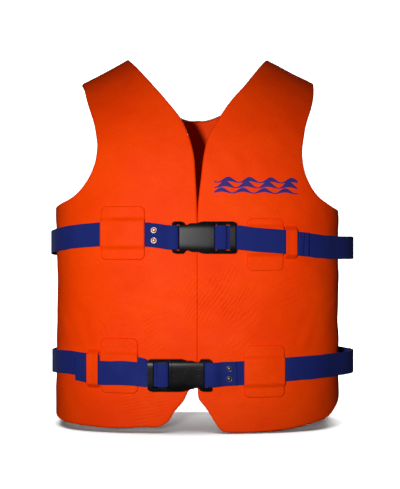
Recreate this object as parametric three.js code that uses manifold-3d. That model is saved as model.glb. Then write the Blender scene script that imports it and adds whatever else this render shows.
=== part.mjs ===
// Slip-on foam life jacket for water sports: a back panel and two front panels of dipped foam,
// joined at the shoulders and sides, held by two webbing belts with side-release buckles.
// Millimetres, +Z up, the chest faces -Y. Left and right are as seen from in front.
//
// Places on the vest are given on its outer skin: "around" is the distance round the body from
// the front centre line towards +X, "up" is the distance above the chest line, and "depth" is
// measured inwards, so a negative depth stands proud of the skin.
import * as THREE from "three";
import { mergeVertices } from "three/addons/utils/BufferGeometryUtils.js";
import Module from "manifold-3d";

const wasm = await Module();
wasm.setup();

// ---- Body of the vest ----
const HALF_WIDTH = 238;
const HALF_DEPTH = 120;
const SQUARENESS = 2.7; // exponent of the level section: 2 is an ellipse, more is boxier
const CHEST_HEIGHT = 350; // below this the body is a straight tube, above it the shoulders curve over
const NECK_POINT = { x: 117.5, z: 615 }; // where the shoulder ridge meets the neckline
const ARM_POINT = { x: 198, z: 573 }; // where the shoulder ridge meets the armhole
const SHOULDER_ARC = 170; // length on the skin that one radian of shoulder curve takes
const FOAM = 25;
const SEAM_GAP = 0.3;
const CLOSING_GAP = 0.6; // between the two front panels

// ---- Outlines of the panels, [x, z], right half given first ----
const NECK_FOOT = 352; // the front edges run straight below this height
const NOTCH_TOP = 74;
const RIGHT_NECKLINE = [[2.4, 378], [5.9, 408], [9.5, 439], [17.7, 474], [28, 493], [37, 508], [54, 533], [77.5, 561]];
const LEFT_NECKLINE = [[-1.1, 378], [-2.7, 408], [-4.8, 439], [-10, 464], [-17, 484], [-25, 501], [-49, 533], [-72, 561]];
const RIGHT_UNDERARM = 358;
const LEFT_UNDERARM = 363;
const RIGHT_ARMHOLE = [[215, 367], [197, 379], [180, 405], [172, 430], [170.5, 444], [175.5, 483.5], [193, 540]];
const LEFT_ARMHOLE = [[-226, 368], [-202, 379.5], [-179, 405], [-164, 443], [-162.5, 456], [-166, 483], [-184, 539]];
const RIGHT_NOTCH = [[2.4, 55.6], [13.5, 41.5], [27.6, 19.3], [39.8, 3]];
const LEFT_NOTCH = [[-11.7, 74], [-21, 53.5], [-35, 37], [-47, 19], [-57, 12.6]];
const RIGHT_HEM = [[98, 2.4], [145.5, 5.7], [188, 13], [211, 18.5], [228, 32.5]];
const LEFT_HEM = [[-88, 10.6], [-125, 8], [-154, 8], [-186, 9.5], [-215, 10.6]];
const RIGHT_HEM_CORNER = 48;
const LEFT_HEM_CORNER = 16;
const BACK_FLAT = { outer: 205, inner: 140 }; // the two lowest stretches of the back hem, at height 0
const BACK_ARCH = 50;
const BACK_NECKLINE = [[100, 586], [74, 556], [40, 533], [0, 525]];

// ---- Webbing, its loops and keepers ----
const WEB_WIDTH = 38;
const WEB = 1.6;
const LAYER_GAP = 0.4; // between two layers of webbing, and between webbing and foam
const WEB_STEP = 10;
const PATCH = 3; // thickness of a belt loop
const PATCH_CORNER = 9;
const PATCH_RAMP = 3;
const PATCH_SIDE_CLEARANCE = 1.5; // between a belt's edge and the side of its loop
const FOLD_FROM_BAR = 45; // length of the riveted fold
const FLAT_FROM_BAR = 26; // the webbing lies flat from here outwards
const RIVETS_FROM_BAR = 33;
const RIVET_SPACING = 16.2;
const RIVET = { head: 5.3, headHeight: 1.7, shank: 2, cap: 4, capHeight: 0.7, hole: 2.3 };
const KEEPER = { start: 4.3, end: 24, thickness: 2.2 }; // measured outwards from the loop's end
const STOP = { length: 18, thickness: 4.8 }; // the tail's end, folded and sewn
const SLACK_REACH = 72; // half length of the stretch of belt that stands off at each side

// ---- Side-release buckle: x from the socket's mouth towards the plug, height from its underside ----
const BUCKLE_STANDOFF = 5.5; // its underside above the skin at the front centre
const BUCKLE = 12; // thickness
const WALL = 2.2;
const SLOT_HALF = 20.5;
const EAR = { end: -62, half: 25, neck: -46 };
const BAR = { start: -62, end: -56.5, low: 1.8, high: 6.2, turn: -57.5 };
const SOCKET_SLOT_END = -50;
const WAIST = { start: -41, end: -36, half: 20 };
const MOUTH = { depth: 12, half: 25, bore: 22.7 };
const PLUG = { start: 0.3, end: 38, half: 25, corner: 5 };
const PLUG_SLOT_START = 4;
const CENTRE_BAR = { start: 9, end: 21.5, low: 2.5, high: 6.5 };
const OUTER_BAR = { start: 29.5, low: 4.2 };
const TONGUE = { end: -34, half: 4.5, low: 3, high: 9 };
const ARM = { pivot: -2.6, offset: 17, root: 2.5, low: 2.7, high: 9.3 };
const RELEASE_TRAVEL = 38; // how far the plug slides to come free

// One entry per belt. side is the side, -1 or 1, on which the riveted end leaves the buckle, and
// "out" is the distance from the front centre line towards that side.
const BELTS = {
  upper: {
    side: -1,
    mouth: 22,
    buckleHeight: 312,
    slack: { near: 8, far: 25 },
    heights: [[44, 312], [89, 317.5], [156, 317], [189, 314.5]],
    sides: { near: 303, back: 299, far: 295 },
    farHeights: [[199, 297.6], [138, 305], [92, 308.5], [66, 312]],
    fixedLoop: { start: 83, end: 154, low: 276, high: 362 },
    tailLoop: { start: 79, end: 137, low: 258.5, high: 343 },
    tailDrop: 0,
  },
  lower: {
    side: 1,
    mouth: -40,
    buckleHeight: 95.5,
    slack: { near: 25, far: 6 },
    heights: [[19, 95.6], [72.5, 97], [140, 100.5], [181, 100.4]],
    sides: { near: 100.5, back: 104, far: 101 },
    farHeights: [[194, 106], [154, 98.5], [78, 95.5]],
    fixedLoop: { start: 74, end: 139, low: 57.5, high: 141 },
    tailLoop: { start: 94, end: 154, low: 65, high: 152 },
    tailDrop: 8,
  },
};

// ---- Materials ----
const material = (color, roughness, metalness) =>
  new THREE.MeshStandardMaterial({ color, roughness, metalness });
const dippedFoam = () => material(0xfb4a05, 0.5, 0);
const webbing = () => material(0x222b76, 0.85, 0);
const mouldedPlastic = () => material(0x1b191d, 0.35, 0);
const rivetMetal = () => material(0xc9a184, 0.35, 0.9);

// ---- The outer skin ----
// Quarter of the level section, from the front centre to the side, as a table of lengths.
const SECTION_STEPS = 1000;
const section = [{ around: 0, x: 0, y: -HALF_DEPTH }];
for (let i = 1; i <= SECTION_STEPS; i++) {
  const angle = ((i / SECTION_STEPS) ** 2 * Math.PI) / 2;
  const x = HALF_WIDTH * Math.sin(angle) ** (2 / SQUARENESS);
  const y = -HALF_DEPTH * Math.max(0, Math.cos(angle)) ** (2 / SQUARENESS);
  const before = section[i - 1];
  section.push({ around: before.around + Math.hypot(x - before.x, y - before.y), x, y });
}
const QUARTER = section[SECTION_STEPS].around;

// Finds a value in a table that rises along one key, by linear interpolation.
function lookUp(table, key, value, wanted) {
  let low = 0;
  let high = table.length - 1;
  while (high - low > 1) {
    const middle = (low + high) >> 1;
    if (table[middle][key] <= value) low = middle;
    else high = middle;
  }
  const share = (value - table[low][key]) / (table[high][key] - table[low][key]);
  return table[low][wanted] + THREE.MathUtils.clamp(share, 0, 1) * (table[high][wanted] - table[low][wanted]);
}

// The distance round the front to a place that is x from the centre line.
const around = (x) => Math.sign(x) * lookUp(section, "x", Math.min(Math.abs(x), HALF_WIDTH), "around");
const aroundBack = (x) => 2 * QUARTER - around(x);
const ridge = (x) =>
  NECK_POINT.z - ((Math.abs(x) - NECK_POINT.x) * (NECK_POINT.z - ARM_POINT.z)) / (ARM_POINT.x - NECK_POINT.x);

// The distance up the skin to height z, at x from the centre line.
function up(x, z) {
  if (z <= CHEST_HEIGHT) return z - CHEST_HEIGHT;
  return SHOULDER_ARC * Math.asin(Math.min(1, (z - CHEST_HEIGHT) / (ridge(x) - CHEST_HEIGHT)));
}

function skin(aroundAt, upAt) {
  const turn = THREE.MathUtils.euclideanModulo(aroundAt, 4 * QUARTER);
  const right = turn <= 2 * QUARTER;
  const half = right ? turn : 4 * QUARTER - turn;
  const front = half <= QUARTER;
  const along = front ? half : 2 * QUARTER - half;
  const x = lookUp(section, "around", along, "x") * (right ? 1 : -1);
  const y = lookUp(section, "around", along, "y") * (front ? 1 : -1);
  if (upAt <= 0) return new THREE.Vector3(x, y, CHEST_HEIGHT + upAt);
  const angle = upAt / SHOULDER_ARC;
  return new THREE.Vector3(x, y * Math.cos(angle), CHEST_HEIGHT + (ridge(x) - CHEST_HEIGHT) * Math.sin(angle));
}

function skinNormal(aroundAt, upAt) {
  const reach = 0.5;
  const across = skin(aroundAt + reach, upAt).sub(skin(aroundAt - reach, upAt));
  const upward = skin(aroundAt, upAt + reach).sub(skin(aroundAt, upAt - reach));
  return across.cross(upward).normalize();
}

const place = (aroundAt, upAt, depth) =>
  skin(aroundAt, upAt).addScaledVector(skinNormal(aroundAt, upAt), -depth);

// ---- Making solids ----
function merged(geometry) {
  const bare = geometry.clone();
  bare.deleteAttribute("normal");
  bare.deleteAttribute("uv");
  return mergeVertices(bare, 1e-4);
}

// A closed box whose every vertex is moved by bend(across, inward, upward), each from 0 to 1.
function bentBox(columns, rows, bend) {
  const box = merged(new THREE.BoxGeometry(1, 1, 1, columns, 1, rows));
  const at = box.getAttribute("position");
  for (let i = 0; i < at.count; i++) {
    const spot = bend(at.getX(i) + 0.5, at.getY(i) + 0.5, at.getZ(i) + 0.5);
    at.setXYZ(i, spot.x, spot.y, spot.z);
  }
  box.computeVertexNormals();
  return box;
}

function toSolid(geometry) {
  const closed = merged(geometry);
  return new wasm.Manifold(
    new wasm.Mesh({
      numProp: 3,
      vertProperties: closed.getAttribute("position").array,
      triVerts: new Uint32Array(closed.index.array),
    }),
  );
}

function toGeometry(solid) {
  const mesh = solid.getMesh();
  const geometry = new THREE.BufferGeometry();
  geometry.setAttribute("position", new THREE.BufferAttribute(new Float32Array(mesh.vertProperties), 3));
  geometry.setIndex(new THREE.BufferAttribute(new Uint32Array(mesh.triVerts), 1));
  geometry.computeVertexNormals();
  return geometry;
}

const join = (...pieces) => pieces.map(toSolid).reduce((whole, piece) => whole.add(piece));
const cut = (whole, ...tools) => tools.map(toSolid).reduce((left, tool) => left.subtract(tool), whole);

const vest = new THREE.Group();
function add(name, geometry, look) {
  const mesh = new THREE.Mesh(geometry, look);
  mesh.name = name;
  vest.add(mesh);
  return mesh;
}

// ---- Foam panels ----
// A smooth stretch of a panel's edge through [x, z] points, taking so many steps of the grid.
function stretch(steps, points, goRound = around) {
  const curve = new THREE.SplineCurve(points.map(([x, z]) => new THREE.Vector2(goRound(x), up(x, z))));
  return { steps, curve, at: (share) => curve.getPointAt(Math.min(1, share)) };
}

// A stretch that climbs all the way, with its steps at set heights, closest together at its foot.
function climb(steps, points, goRound = around) {
  const table = stretch(steps, points, goRound).curve.getPoints(40 * points.length);
  const foot = table[0].y;
  const head = table[table.length - 1].y;
  const at = (share) => {
    const height = THREE.MathUtils.lerp(foot, head, Math.min(1, share) ** ROW_CROWDING);
    return new THREE.Vector2(lookUp(table, "y", height, "x"), height);
  };
  return { steps, at };
}

// An edge as a function of its share of steps; corners fall between its stretches.
function edge(...stretches) {
  const total = stretches.reduce((sum, piece) => sum + piece.steps, 0);
  return (share) => {
    let left = share * total;
    let index = 0;
    while (index < stretches.length - 1 && left > stretches[index].steps) {
      left -= stretches[index].steps;
      index += 1;
    }
    return stretches[index].at(left / stretches[index].steps);
  };
}

// A foam slab that fills the patch between four edges, on one side of the plane y = 0. Its rows
// climb at the mean pace of the start and end edges, so that none folds back over the next.
function panel(columns, rows, facing, { bottom, top, start, end }) {
  const climbed = (upward) => start(upward).y + end(upward).y;
  return bentBox(columns, rows, (across, inward, upward) => {
    const rise = (climbed(upward) - climbed(0)) / (climbed(1) - climbed(0));
    const spot = new THREE.Vector2()
      .addScaledVector(bottom(across), 1 - rise)
      .addScaledVector(top(across), rise)
      .addScaledVector(start(upward), 1 - across)
      .addScaledVector(end(upward), across)
      .addScaledVector(bottom(0), -(1 - across) * (1 - rise))
      .addScaledVector(bottom(1), -across * (1 - rise))
      .addScaledVector(top(0), -(1 - across) * rise)
      .addScaledVector(top(1), -across * rise);
    const at = place(spot.x, spot.y, inward * FOAM);
    at.y = facing * Math.max(facing * at.y, SEAM_GAP / 2);
    return at;
  });
}

const SIDE_ROWS = 9;
const ARM_ROWS = 13;
const ROW_CROWDING = 1.5;
const reversed = (points) => [...points].reverse();

function frontPanelRight() {
  const centre = CLOSING_GAP / 2;
  const notchTop = [centre, NOTCH_TOP];
  const neckFoot = [centre, NECK_FOOT];
  const hemCorner = [HALF_WIDTH, RIGHT_HEM_CORNER];
  const notchFoot = RIGHT_NOTCH[RIGHT_NOTCH.length - 1];
  return panel(13, SIDE_ROWS + ARM_ROWS, -1, {
    bottom: edge(stretch(4, [notchTop, ...RIGHT_NOTCH]), stretch(9, [notchFoot, ...RIGHT_HEM, hemCorner])),
    top: edge(stretch(13, [[NECK_POINT.x, NECK_POINT.z], [ARM_POINT.x, ARM_POINT.z]])),
    start: edge(
      stretch(SIDE_ROWS, [notchTop, neckFoot]),
      climb(ARM_ROWS, [neckFoot, ...RIGHT_NECKLINE, [NECK_POINT.x, NECK_POINT.z]]),
    ),
    end: edge(
      stretch(SIDE_ROWS, [hemCorner, [HALF_WIDTH, RIGHT_UNDERARM]]),
      climb(ARM_ROWS, [[HALF_WIDTH, RIGHT_UNDERARM], ...RIGHT_ARMHOLE, [ARM_POINT.x, ARM_POINT.z]]),
    ),
  });
}

function frontPanelLeft() {
  const centre = -CLOSING_GAP / 2;
  const notchTop = [centre - 1.4, NOTCH_TOP];
  const neckFoot = [centre, NECK_FOOT];
  const hemCorner = [-HALF_WIDTH, LEFT_HEM_CORNER];
  const notchFoot = LEFT_NOTCH[LEFT_NOTCH.length - 1];
  return panel(13, SIDE_ROWS + ARM_ROWS, -1, {
    bottom: edge(
      stretch(9, [hemCorner, ...reversed(LEFT_HEM), notchFoot]),
      stretch(4, [...reversed(LEFT_NOTCH), notchTop]),
    ),
    top: edge(stretch(13, [[-ARM_POINT.x, ARM_POINT.z], [-NECK_POINT.x, NECK_POINT.z]])),
    start: edge(
      stretch(SIDE_ROWS, [hemCorner, [-HALF_WIDTH, LEFT_UNDERARM]]),
      climb(ARM_ROWS, [[-HALF_WIDTH, LEFT_UNDERARM], ...LEFT_ARMHOLE, [-ARM_POINT.x, ARM_POINT.z]]),
    ),
    end: edge(
      stretch(SIDE_ROWS, [notchTop, neckFoot]),
      climb(ARM_ROWS, [neckFoot, ...LEFT_NECKLINE, [-NECK_POINT.x, NECK_POINT.z]]),
    ),
  });
}

function backPanel() {
  const back = (steps, points) => stretch(steps, points, aroundBack);
  const mirror = (points) => points.map(([x, z]) => [-x, z]);
  const { outer, inner } = BACK_FLAT;
  const rise = [[inner, 0], [inner - 14, 0.4 * BACK_ARCH], [inner - 40, 0.9 * BACK_ARCH]];
  const halfNeck = [[NECK_POINT.x, NECK_POINT.z], ...BACK_NECKLINE];
  const rightCorner = [HALF_WIDTH, RIGHT_HEM_CORNER];
  const leftCorner = [-HALF_WIDTH, LEFT_HEM_CORNER];
  const arm = [ARM_POINT.x, ARM_POINT.z];
  return panel(24, SIDE_ROWS + ARM_ROWS, 1, {
    bottom: edge(
      back(2, [rightCorner, [228, 0.3 * RIGHT_HEM_CORNER], [outer, 0]]),
      back(2, [[outer, 0], [inner, 0]]),
      back(16, [...rise, [0, BACK_ARCH], ...reversed(mirror(rise))]),
      back(2, [[-inner, 0], [-outer, 0]]),
      back(2, [[-outer, 0], [-228, 0.3 * LEFT_HEM_CORNER], leftCorner]),
    ),
    top: edge(
      back(4, [arm, [NECK_POINT.x, NECK_POINT.z]]),
      back(16, [...halfNeck, ...reversed(mirror(halfNeck)).slice(1)]),
      back(4, [[-NECK_POINT.x, NECK_POINT.z], [-ARM_POINT.x, ARM_POINT.z]]),
    ),
    start: edge(
      back(SIDE_ROWS, [rightCorner, [HALF_WIDTH, RIGHT_UNDERARM]]),
      climb(ARM_ROWS, [[HALF_WIDTH, RIGHT_UNDERARM], ...RIGHT_ARMHOLE, arm], aroundBack),
    ),
    end: edge(
      back(SIDE_ROWS, [leftCorner, [-HALF_WIDTH, LEFT_UNDERARM]]),
      climb(ARM_ROWS, [[-HALF_WIDTH, LEFT_UNDERARM], ...LEFT_ARMHOLE, [-ARM_POINT.x, ARM_POINT.z]], aroundBack),
    ),
  });
}

// ---- Webbing ----
// Depths of the layers' middles, counted from the skin outwards.
const layerMiddle = (count) => LAYER_GAP + WEB / 2 + count * (WEB + LAYER_GAP);
const LOOP_CHANNEL = layerMiddle(2) - WEB / 2; // underside of a loop that two layers pass through
const OVER_LOOP = LOOP_CHANNEL + PATCH + LAYER_GAP + WEB / 2; // middle of a tail on top of a loop
const RIVETED = RIVET.capHeight + LAYER_GAP + 0.4 + WEB / 2; // middle of the riveted inner layer

// A flat strip of webbing along path points {x, y, z, thick}, its width upright.
function ribbon(points) {
  const last = points.length - 1;
  return bentBox(last, 1, (along, inward, upward) => {
    const index = Math.round(along * last);
    const here = points[index];
    const next = points[Math.min(last, index + 1)];
    const before = points[Math.max(0, index - 1)];
    const forward = new THREE.Vector2(here.x - before.x, here.y - before.y).normalize();
    forward.add(new THREE.Vector2(next.x - here.x, next.y - here.y).normalize()).normalize();
    const thick = (here.thick ?? WEB) * (inward - 0.5);
    return new THREE.Vector3(
      here.x - forward.y * thick,
      here.y + forward.x * thick,
      here.z + (upward - 0.5) * WEB_WIDTH,
    );
  });
}

// Height of a belt's centre line by its distance round from the front centre, towards its near side.
function beltHeight(belt, distance) {
  const { heights, sides, farHeights } = belt;
  const knots = [
    ...heights.map(([out, z]) => [around(out), z]),
    [QUARTER, sides.near],
    [2 * QUARTER, sides.back],
    [3 * QUARTER, sides.far],
    ...farHeights.map(([out, z]) => [4 * QUARTER - around(out), z]),
  ];
  const table = knots.map(([at, z]) => ({ at, z }));
  return lookUp(table, "at", distance, "z");
}

// A belt's point, so far round and so far off the skin.
function onBelt(belt, distance, off, drop = 0) {
  const spot = place(belt.side * distance, -1, -off);
  spot.z = beltHeight(belt, distance) - drop;
  return spot;
}

// A point of the buckle's own frame, x from the mouth and height from the underside.
function onBuckle(belt, x, height, z) {
  return new THREE.Vector3(belt.mouth - belt.side * x, -(HALF_DEPTH + BUCKLE_STANDOFF + height), z);
}

const barTurn = (belt) => belt.side * (belt.mouth - belt.side * BAR.turn);
const slackAt = (distance, middle, amount) =>
  Math.abs(distance - middle) < SLACK_REACH
    ? amount * Math.cos((Math.PI * (distance - middle)) / (2 * SLACK_REACH)) ** 2
    : 0;

// Half a turn of webbing round a bar, from one height to another, bulging towards bulge (-1 or 1) in x.
function turnPoints(belt, x, from, to, bulge, z) {
  const radius = (to - from) / 2;
  const points = [];
  for (let i = 0; i <= 6; i++) {
    const angle = (Math.PI * i) / 6;
    const height = from + radius - radius * Math.cos(angle);
    points.push(onBuckle(belt, x + bulge * Math.abs(radius) * Math.sin(angle), height, z));
  }
  return points;
}

// The riveted fold over the socket's bar, then once round the body to just under the plug.
function beltPath(belt) {
  const bar = barTurn(belt);
  const foldLevel = RIVETED + WEB + LAYER_GAP;
  const overBar = BAR.high + SEAM_GAP + WEB / 2;
  const underBar = BAR.low - SEAM_GAP - WEB / 2;
  const z = beltHeight(belt, 0);
  const points = [];
  for (const from of [FOLD_FROM_BAR, RIVETS_FROM_BAR, FLAT_FROM_BAR])
    points.push(onBelt(belt, around(bar + from), foldLevel));
  points.push(onBuckle(belt, BAR.start - 1.5, overBar, z));
  points.push(...turnPoints(belt, BAR.turn, overBar, underBar, 1, z));
  points.push(onBuckle(belt, BAR.start - 1.5, underBar, z));
  for (const from of [FLAT_FROM_BAR, RIVETS_FROM_BAR, FOLD_FROM_BAR])
    points.push(onBelt(belt, around(bar + from), RIVETED));
  const start = around(bar + FOLD_FROM_BAR + 12);
  const end = 4 * QUARTER - around(endUnderPlug(belt));
  const steps = Math.ceil((end - start) / WEB_STEP);
  for (let i = 0; i <= steps; i++) {
    const distance = start + ((end - start) * i) / steps;
    const slack =
      slackAt(distance, QUARTER, belt.slack.near) + slackAt(distance, 3 * QUARTER, belt.slack.far);
    points.push(onBelt(belt, distance, layerMiddle(0) + slack));
  }
  return points;
}

const plugOut = (belt, x) => -belt.side * (belt.mouth - belt.side * x);
const endUnderPlug = (belt) => plugOut(belt, OUTER_BAR.start);

// The webbing through the plug: in under the outer bar, round the centre bar and out again.
function adjusterPath(belt) {
  const z = belt.buckleHeight;
  const low = CENTRE_BAR.low - SEAM_GAP - WEB / 2;
  const high = CENTRE_BAR.high + SEAM_GAP + WEB / 2;
  const farOff = (x, off) => onBelt(belt, 4 * QUARTER - around(plugOut(belt, x)), off);
  const points = [];
  // Its lower layer keeps to the plug's own height, so that it clears the loop as the plug slides out.
  for (const [x, height] of [[PLUG.end, 0.75], [32, 0.75], [26, 0.8], [22, low]])
    points.push(onBuckle(belt, x, height, z));
  points.push(...turnPoints(belt, CENTRE_BAR.start, low, high, -1, z));
  for (const [x, height] of [[22, high], [24.5, 7.2], [27.2, 4.6], [29.5, 2.9], [34, 2.4], [40, 2.2]])
    points.push(onBuckle(belt, x, height, z));
  const over = OVER_LOOP + WEB + LAYER_GAP;
  for (const x of [62, 75, PLUG.end + RELEASE_TRAVEL + 12]) points.push(farOff(x, over));
  return points;
}

// The tail: over its loop, down under the keeper, ending in a thick folded stop.
function tailPath(belt) {
  const { end } = belt.tailLoop;
  const start = plugOut(belt, PLUG.end + RELEASE_TRAVEL + 4);
  const under = layerMiddle(1);
  const stopStart = end + KEEPER.end + 1.5;
  const stopOff = under - WEB / 2 + STOP.thickness / 2;
  const levels = [
    [start, OVER_LOOP], [(start + end) / 2, OVER_LOOP], [end - 6, OVER_LOOP], [end + 0.5, OVER_LOOP],
    [end + 4.5, (OVER_LOOP + under) / 2 - 0.6], [end + 8, under + 0.3], [end + 12, under],
    [end + KEEPER.end, under], [stopStart, under],
    [stopStart + 1, stopOff, STOP.thickness], [stopStart + STOP.length / 2, stopOff, STOP.thickness],
    [stopStart + STOP.length, stopOff, STOP.thickness],
  ];
  return levels.map(([out, off, thick]) => {
    const share = (out - start) / (stopStart - start);
    const spot = onBelt(belt, 4 * QUARTER - around(out), off, Math.min(1, share) * belt.tailDrop);
    spot.thick = thick;
    return spot;
  });
}

// A rounded patch glued to the foam along its top and bottom, raised between them over the belt.
function loopPatch({ start, end, low, high, corner, thickness, channel }) {
  const side = start < 0 ? -1 : 1;
  const round = [0, 30, 60, 90].map((degrees) => THREE.MathUtils.degToRad(degrees));
  const rows = [
    ...round.map((angle) => ({ z: low + corner * (1 - Math.cos(angle)), inset: corner * (1 - Math.sin(angle)) })),
    { z: channel.low - PATCH_RAMP, inset: 0 },
    { z: channel.low, inset: 0, raised: true },
    { z: channel.high, inset: 0, raised: true },
    { z: channel.high + PATCH_RAMP, inset: 0 },
    ...reversed(round).map((angle) => ({
      z: high - corner * (1 - Math.cos(angle)), inset: corner * (1 - Math.sin(angle)),
    })),
  ];
  const from = Math.min(start, end);
  const to = Math.max(start, end);
  return bentBox(8, rows.length - 1, (across, inward, upward) => {
    const row = rows[Math.round(upward * (rows.length - 1))];
    const x = THREE.MathUtils.lerp(from + row.inset, to - row.inset, across);
    const underside = row.raised ? channel.lift : SEAM_GAP;
    return place(side * around(Math.abs(x)), up(x, row.z), -(underside + thickness * (1 - inward)));
  });
}

function channelAt(belt, distance, lift, drop = 0) {
  const z = beltHeight(belt, distance);
  const reach = WEB_WIDTH / 2 + PATCH_SIDE_CLEARANCE;
  return { low: z - drop - reach, high: z + reach, lift };
}

// ---- Buckle ----
// A level outline [x, z] of the buckle's frame, filled between two heights.
function slab(belt, shape, low, high) {
  const geometry = new THREE.ExtrudeGeometry(shape, { depth: high - low, bevelEnabled: false, curveSegments: 5 });
  geometry.rotateX(Math.PI / 2);
  geometry.translate(0, -low, 0);
  if (belt.side > 0) geometry.rotateY(Math.PI);
  const at = onBuckle(belt, 0, 0, belt.buckleHeight);
  geometry.translate(at.x, at.y, at.z);
  return geometry;
}

function rectangle(left, right, half, low = -half) {
  return new THREE.Shape([
    new THREE.Vector2(left, low),
    new THREE.Vector2(right, low),
    new THREE.Vector2(right, half),
    new THREE.Vector2(left, half),
  ]);
}

function roundedEnd(left, right, half, corner) {
  const shape = new THREE.Shape();
  shape.moveTo(left, -half);
  shape.lineTo(right - corner, -half);
  shape.absarc(right - corner, -half + corner, corner, -Math.PI / 2, 0, false);
  shape.absarc(right - corner, half - corner, corner, 0, Math.PI / 2, false);
  shape.lineTo(left, half);
  return shape;
}

function socketOutline() {
  const corner = 5;
  const shape = new THREE.Shape();
  shape.moveTo(0, -MOUTH.half);
  shape.lineTo(0, MOUTH.half);
  shape.lineTo(-MOUTH.depth, MOUTH.half);
  shape.bezierCurveTo(-20, MOUTH.half, -24, WAIST.half, WAIST.end, WAIST.half);
  shape.lineTo(WAIST.start, WAIST.half);
  shape.bezierCurveTo(WAIST.start - 3, WAIST.half, EAR.neck + 2, EAR.half, EAR.neck - 1, EAR.half);
  shape.lineTo(EAR.end + corner, EAR.half);
  shape.absarc(EAR.end + corner, EAR.half - corner, corner, Math.PI / 2, Math.PI, false);
  shape.absarc(EAR.end + corner, -EAR.half + corner, corner, Math.PI, 1.5 * Math.PI, false);
  shape.lineTo(EAR.neck - 1, -EAR.half);
  shape.bezierCurveTo(EAR.neck + 2, -EAR.half, WAIST.start - 3, -WAIST.half, WAIST.start, -WAIST.half);
  shape.lineTo(WAIST.end, -WAIST.half);
  shape.bezierCurveTo(-24, -WAIST.half, -20, -MOUTH.half, -MOUTH.depth, -MOUTH.half);
  return shape;
}

// The hollow half of the buckle, open at its mouth and at the two windows for the latch arms.
function socket(belt) {
  const inside = [WALL, BUCKLE - WALL];
  const whole = toSolid(slab(belt, socketOutline(), 0, BUCKLE));
  const body = cut(
    whole,
    slab(belt, rectangle(-40, 1, 15), ...inside),
    slab(belt, rectangle(-38.5, -MOUTH.depth - 1, EAR.half + 2), ...inside),
    slab(belt, rectangle(-MOUTH.depth - 2, 1, MOUTH.bore), ...inside),
    slab(belt, rectangle(BAR.end, SOCKET_SLOT_END, SLOT_HALF), -1, BUCKLE + 1),
    slab(belt, rectangle(EAR.end - 1, BAR.end + 1, SLOT_HALF), BAR.high, BUCKLE + 1),
    slab(belt, rectangle(EAR.end - 1, BAR.end + 1, SLOT_HALF), -1, BAR.low),
  );
  return toGeometry(body);
}

// The other half: a ladder frame for the webbing with a guide tongue between the latch arms.
function plug(belt) {
  const { start, end, half, corner } = PLUG;
  const tongue = roundedEnd(-1, -TONGUE.end, TONGUE.half, 3);
  const guide = slab(belt, tongue, TONGUE.low, TONGUE.high);
  const whole = toSolid(slab(belt, roundedEnd(start, end, half, corner), 0, BUCKLE));
  const frame = cut(
    whole,
    slab(belt, rectangle(PLUG_SLOT_START, CENTRE_BAR.start, SLOT_HALF), -1, BUCKLE + 1),
    slab(belt, rectangle(CENTRE_BAR.end, OUTER_BAR.start, SLOT_HALF), -1, BUCKLE + 1),
    slab(belt, rectangle(CENTRE_BAR.start - 1, OUTER_BAR.start, SLOT_HALF), CENTRE_BAR.high, BUCKLE + 1),
    slab(belt, rectangle(CENTRE_BAR.start - 1, OUTER_BAR.start, SLOT_HALF), -1, CENTRE_BAR.low),
    slab(belt, rectangle(OUTER_BAR.start - 1, end + 1, SLOT_HALF), -1, OUTER_BAR.low),
  );
  const middle = onBuckle(belt, 0, 0, belt.buckleHeight);
  guide.translate(-middle.x, 0, -middle.z);
  guide.rotateZ(Math.PI);
  guide.rotateX(Math.PI);
  guide.translate(middle.x, 0, middle.z);
  return toGeometry(frame.add(toSolid(guide)));
}

// A sprung arm with a finger pad, turning about its rounded root. upper is 1 or -1.
function latchArm(belt, upper) {
  const { pivot, offset, root, low, high } = ARM;
  const shape = new THREE.Shape();
  shape.moveTo(pivot, offset - root);
  shape.absarc(pivot, offset, root, -Math.PI / 2, Math.PI / 2, false);
  shape.lineTo(-14.6, offset + 3.4);
  shape.lineTo(-15.4, offset + 5.4);
  shape.lineTo(-31, offset + 5.4);
  shape.quadraticCurveTo(-37.5, offset + 5, -37.5, offset - 0.5);
  shape.lineTo(-34, offset - 3);
  const geometry = slab(belt, shape, low, high);
  if (upper > 0) return geometry;
  geometry.translate(-belt.mouth, 0, -belt.buckleHeight);
  geometry.rotateX(Math.PI);
  geometry.translate(belt.mouth, -2 * (HALF_DEPTH + BUCKLE_STANDOFF) - (low + high), belt.buckleHeight);
  return geometry;
}

// ---- Rivets ----
// A tubular rivet with a domed head outside and a flat cap behind, on the axis of its holes.
function rivetGeometry(reach) {
  const { head, headHeight, shank, cap, capHeight } = RIVET;
  const profile = [
    [0, 0], [cap, 0], [cap, capHeight], [shank, capHeight], [shank, reach], [head, reach],
    [head, reach + 0.5], [0.8 * head, reach + 0.8 * headHeight], [0.45 * head, reach + headHeight],
    [0, reach + headHeight],
  ];
  return new THREE.LatheGeometry(profile.map(([radius, along]) => new THREE.Vector2(radius, along)), 20);
}

// Turns and moves a geometry made along +Y so that it stands outwards on the skin.
function standOnSkin(geometry, aroundAt, z, off) {
  const outward = skinNormal(aroundAt, -1);
  geometry.applyQuaternion(new THREE.Quaternion().setFromUnitVectors(new THREE.Vector3(0, 1, 0), outward));
  const foot = place(aroundAt, -1, -off);
  geometry.translate(foot.x, foot.y, z);
  return geometry;
}

// ---- Assembly ----
add("back_panel", backPanel(), dippedFoam());
add("front_panel_left", frontPanelLeft(), dippedFoam());
add("front_panel_right", frontPanelRight(), dippedFoam());

const sideName = (side) => (side < 0 ? "left" : "right");

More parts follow.
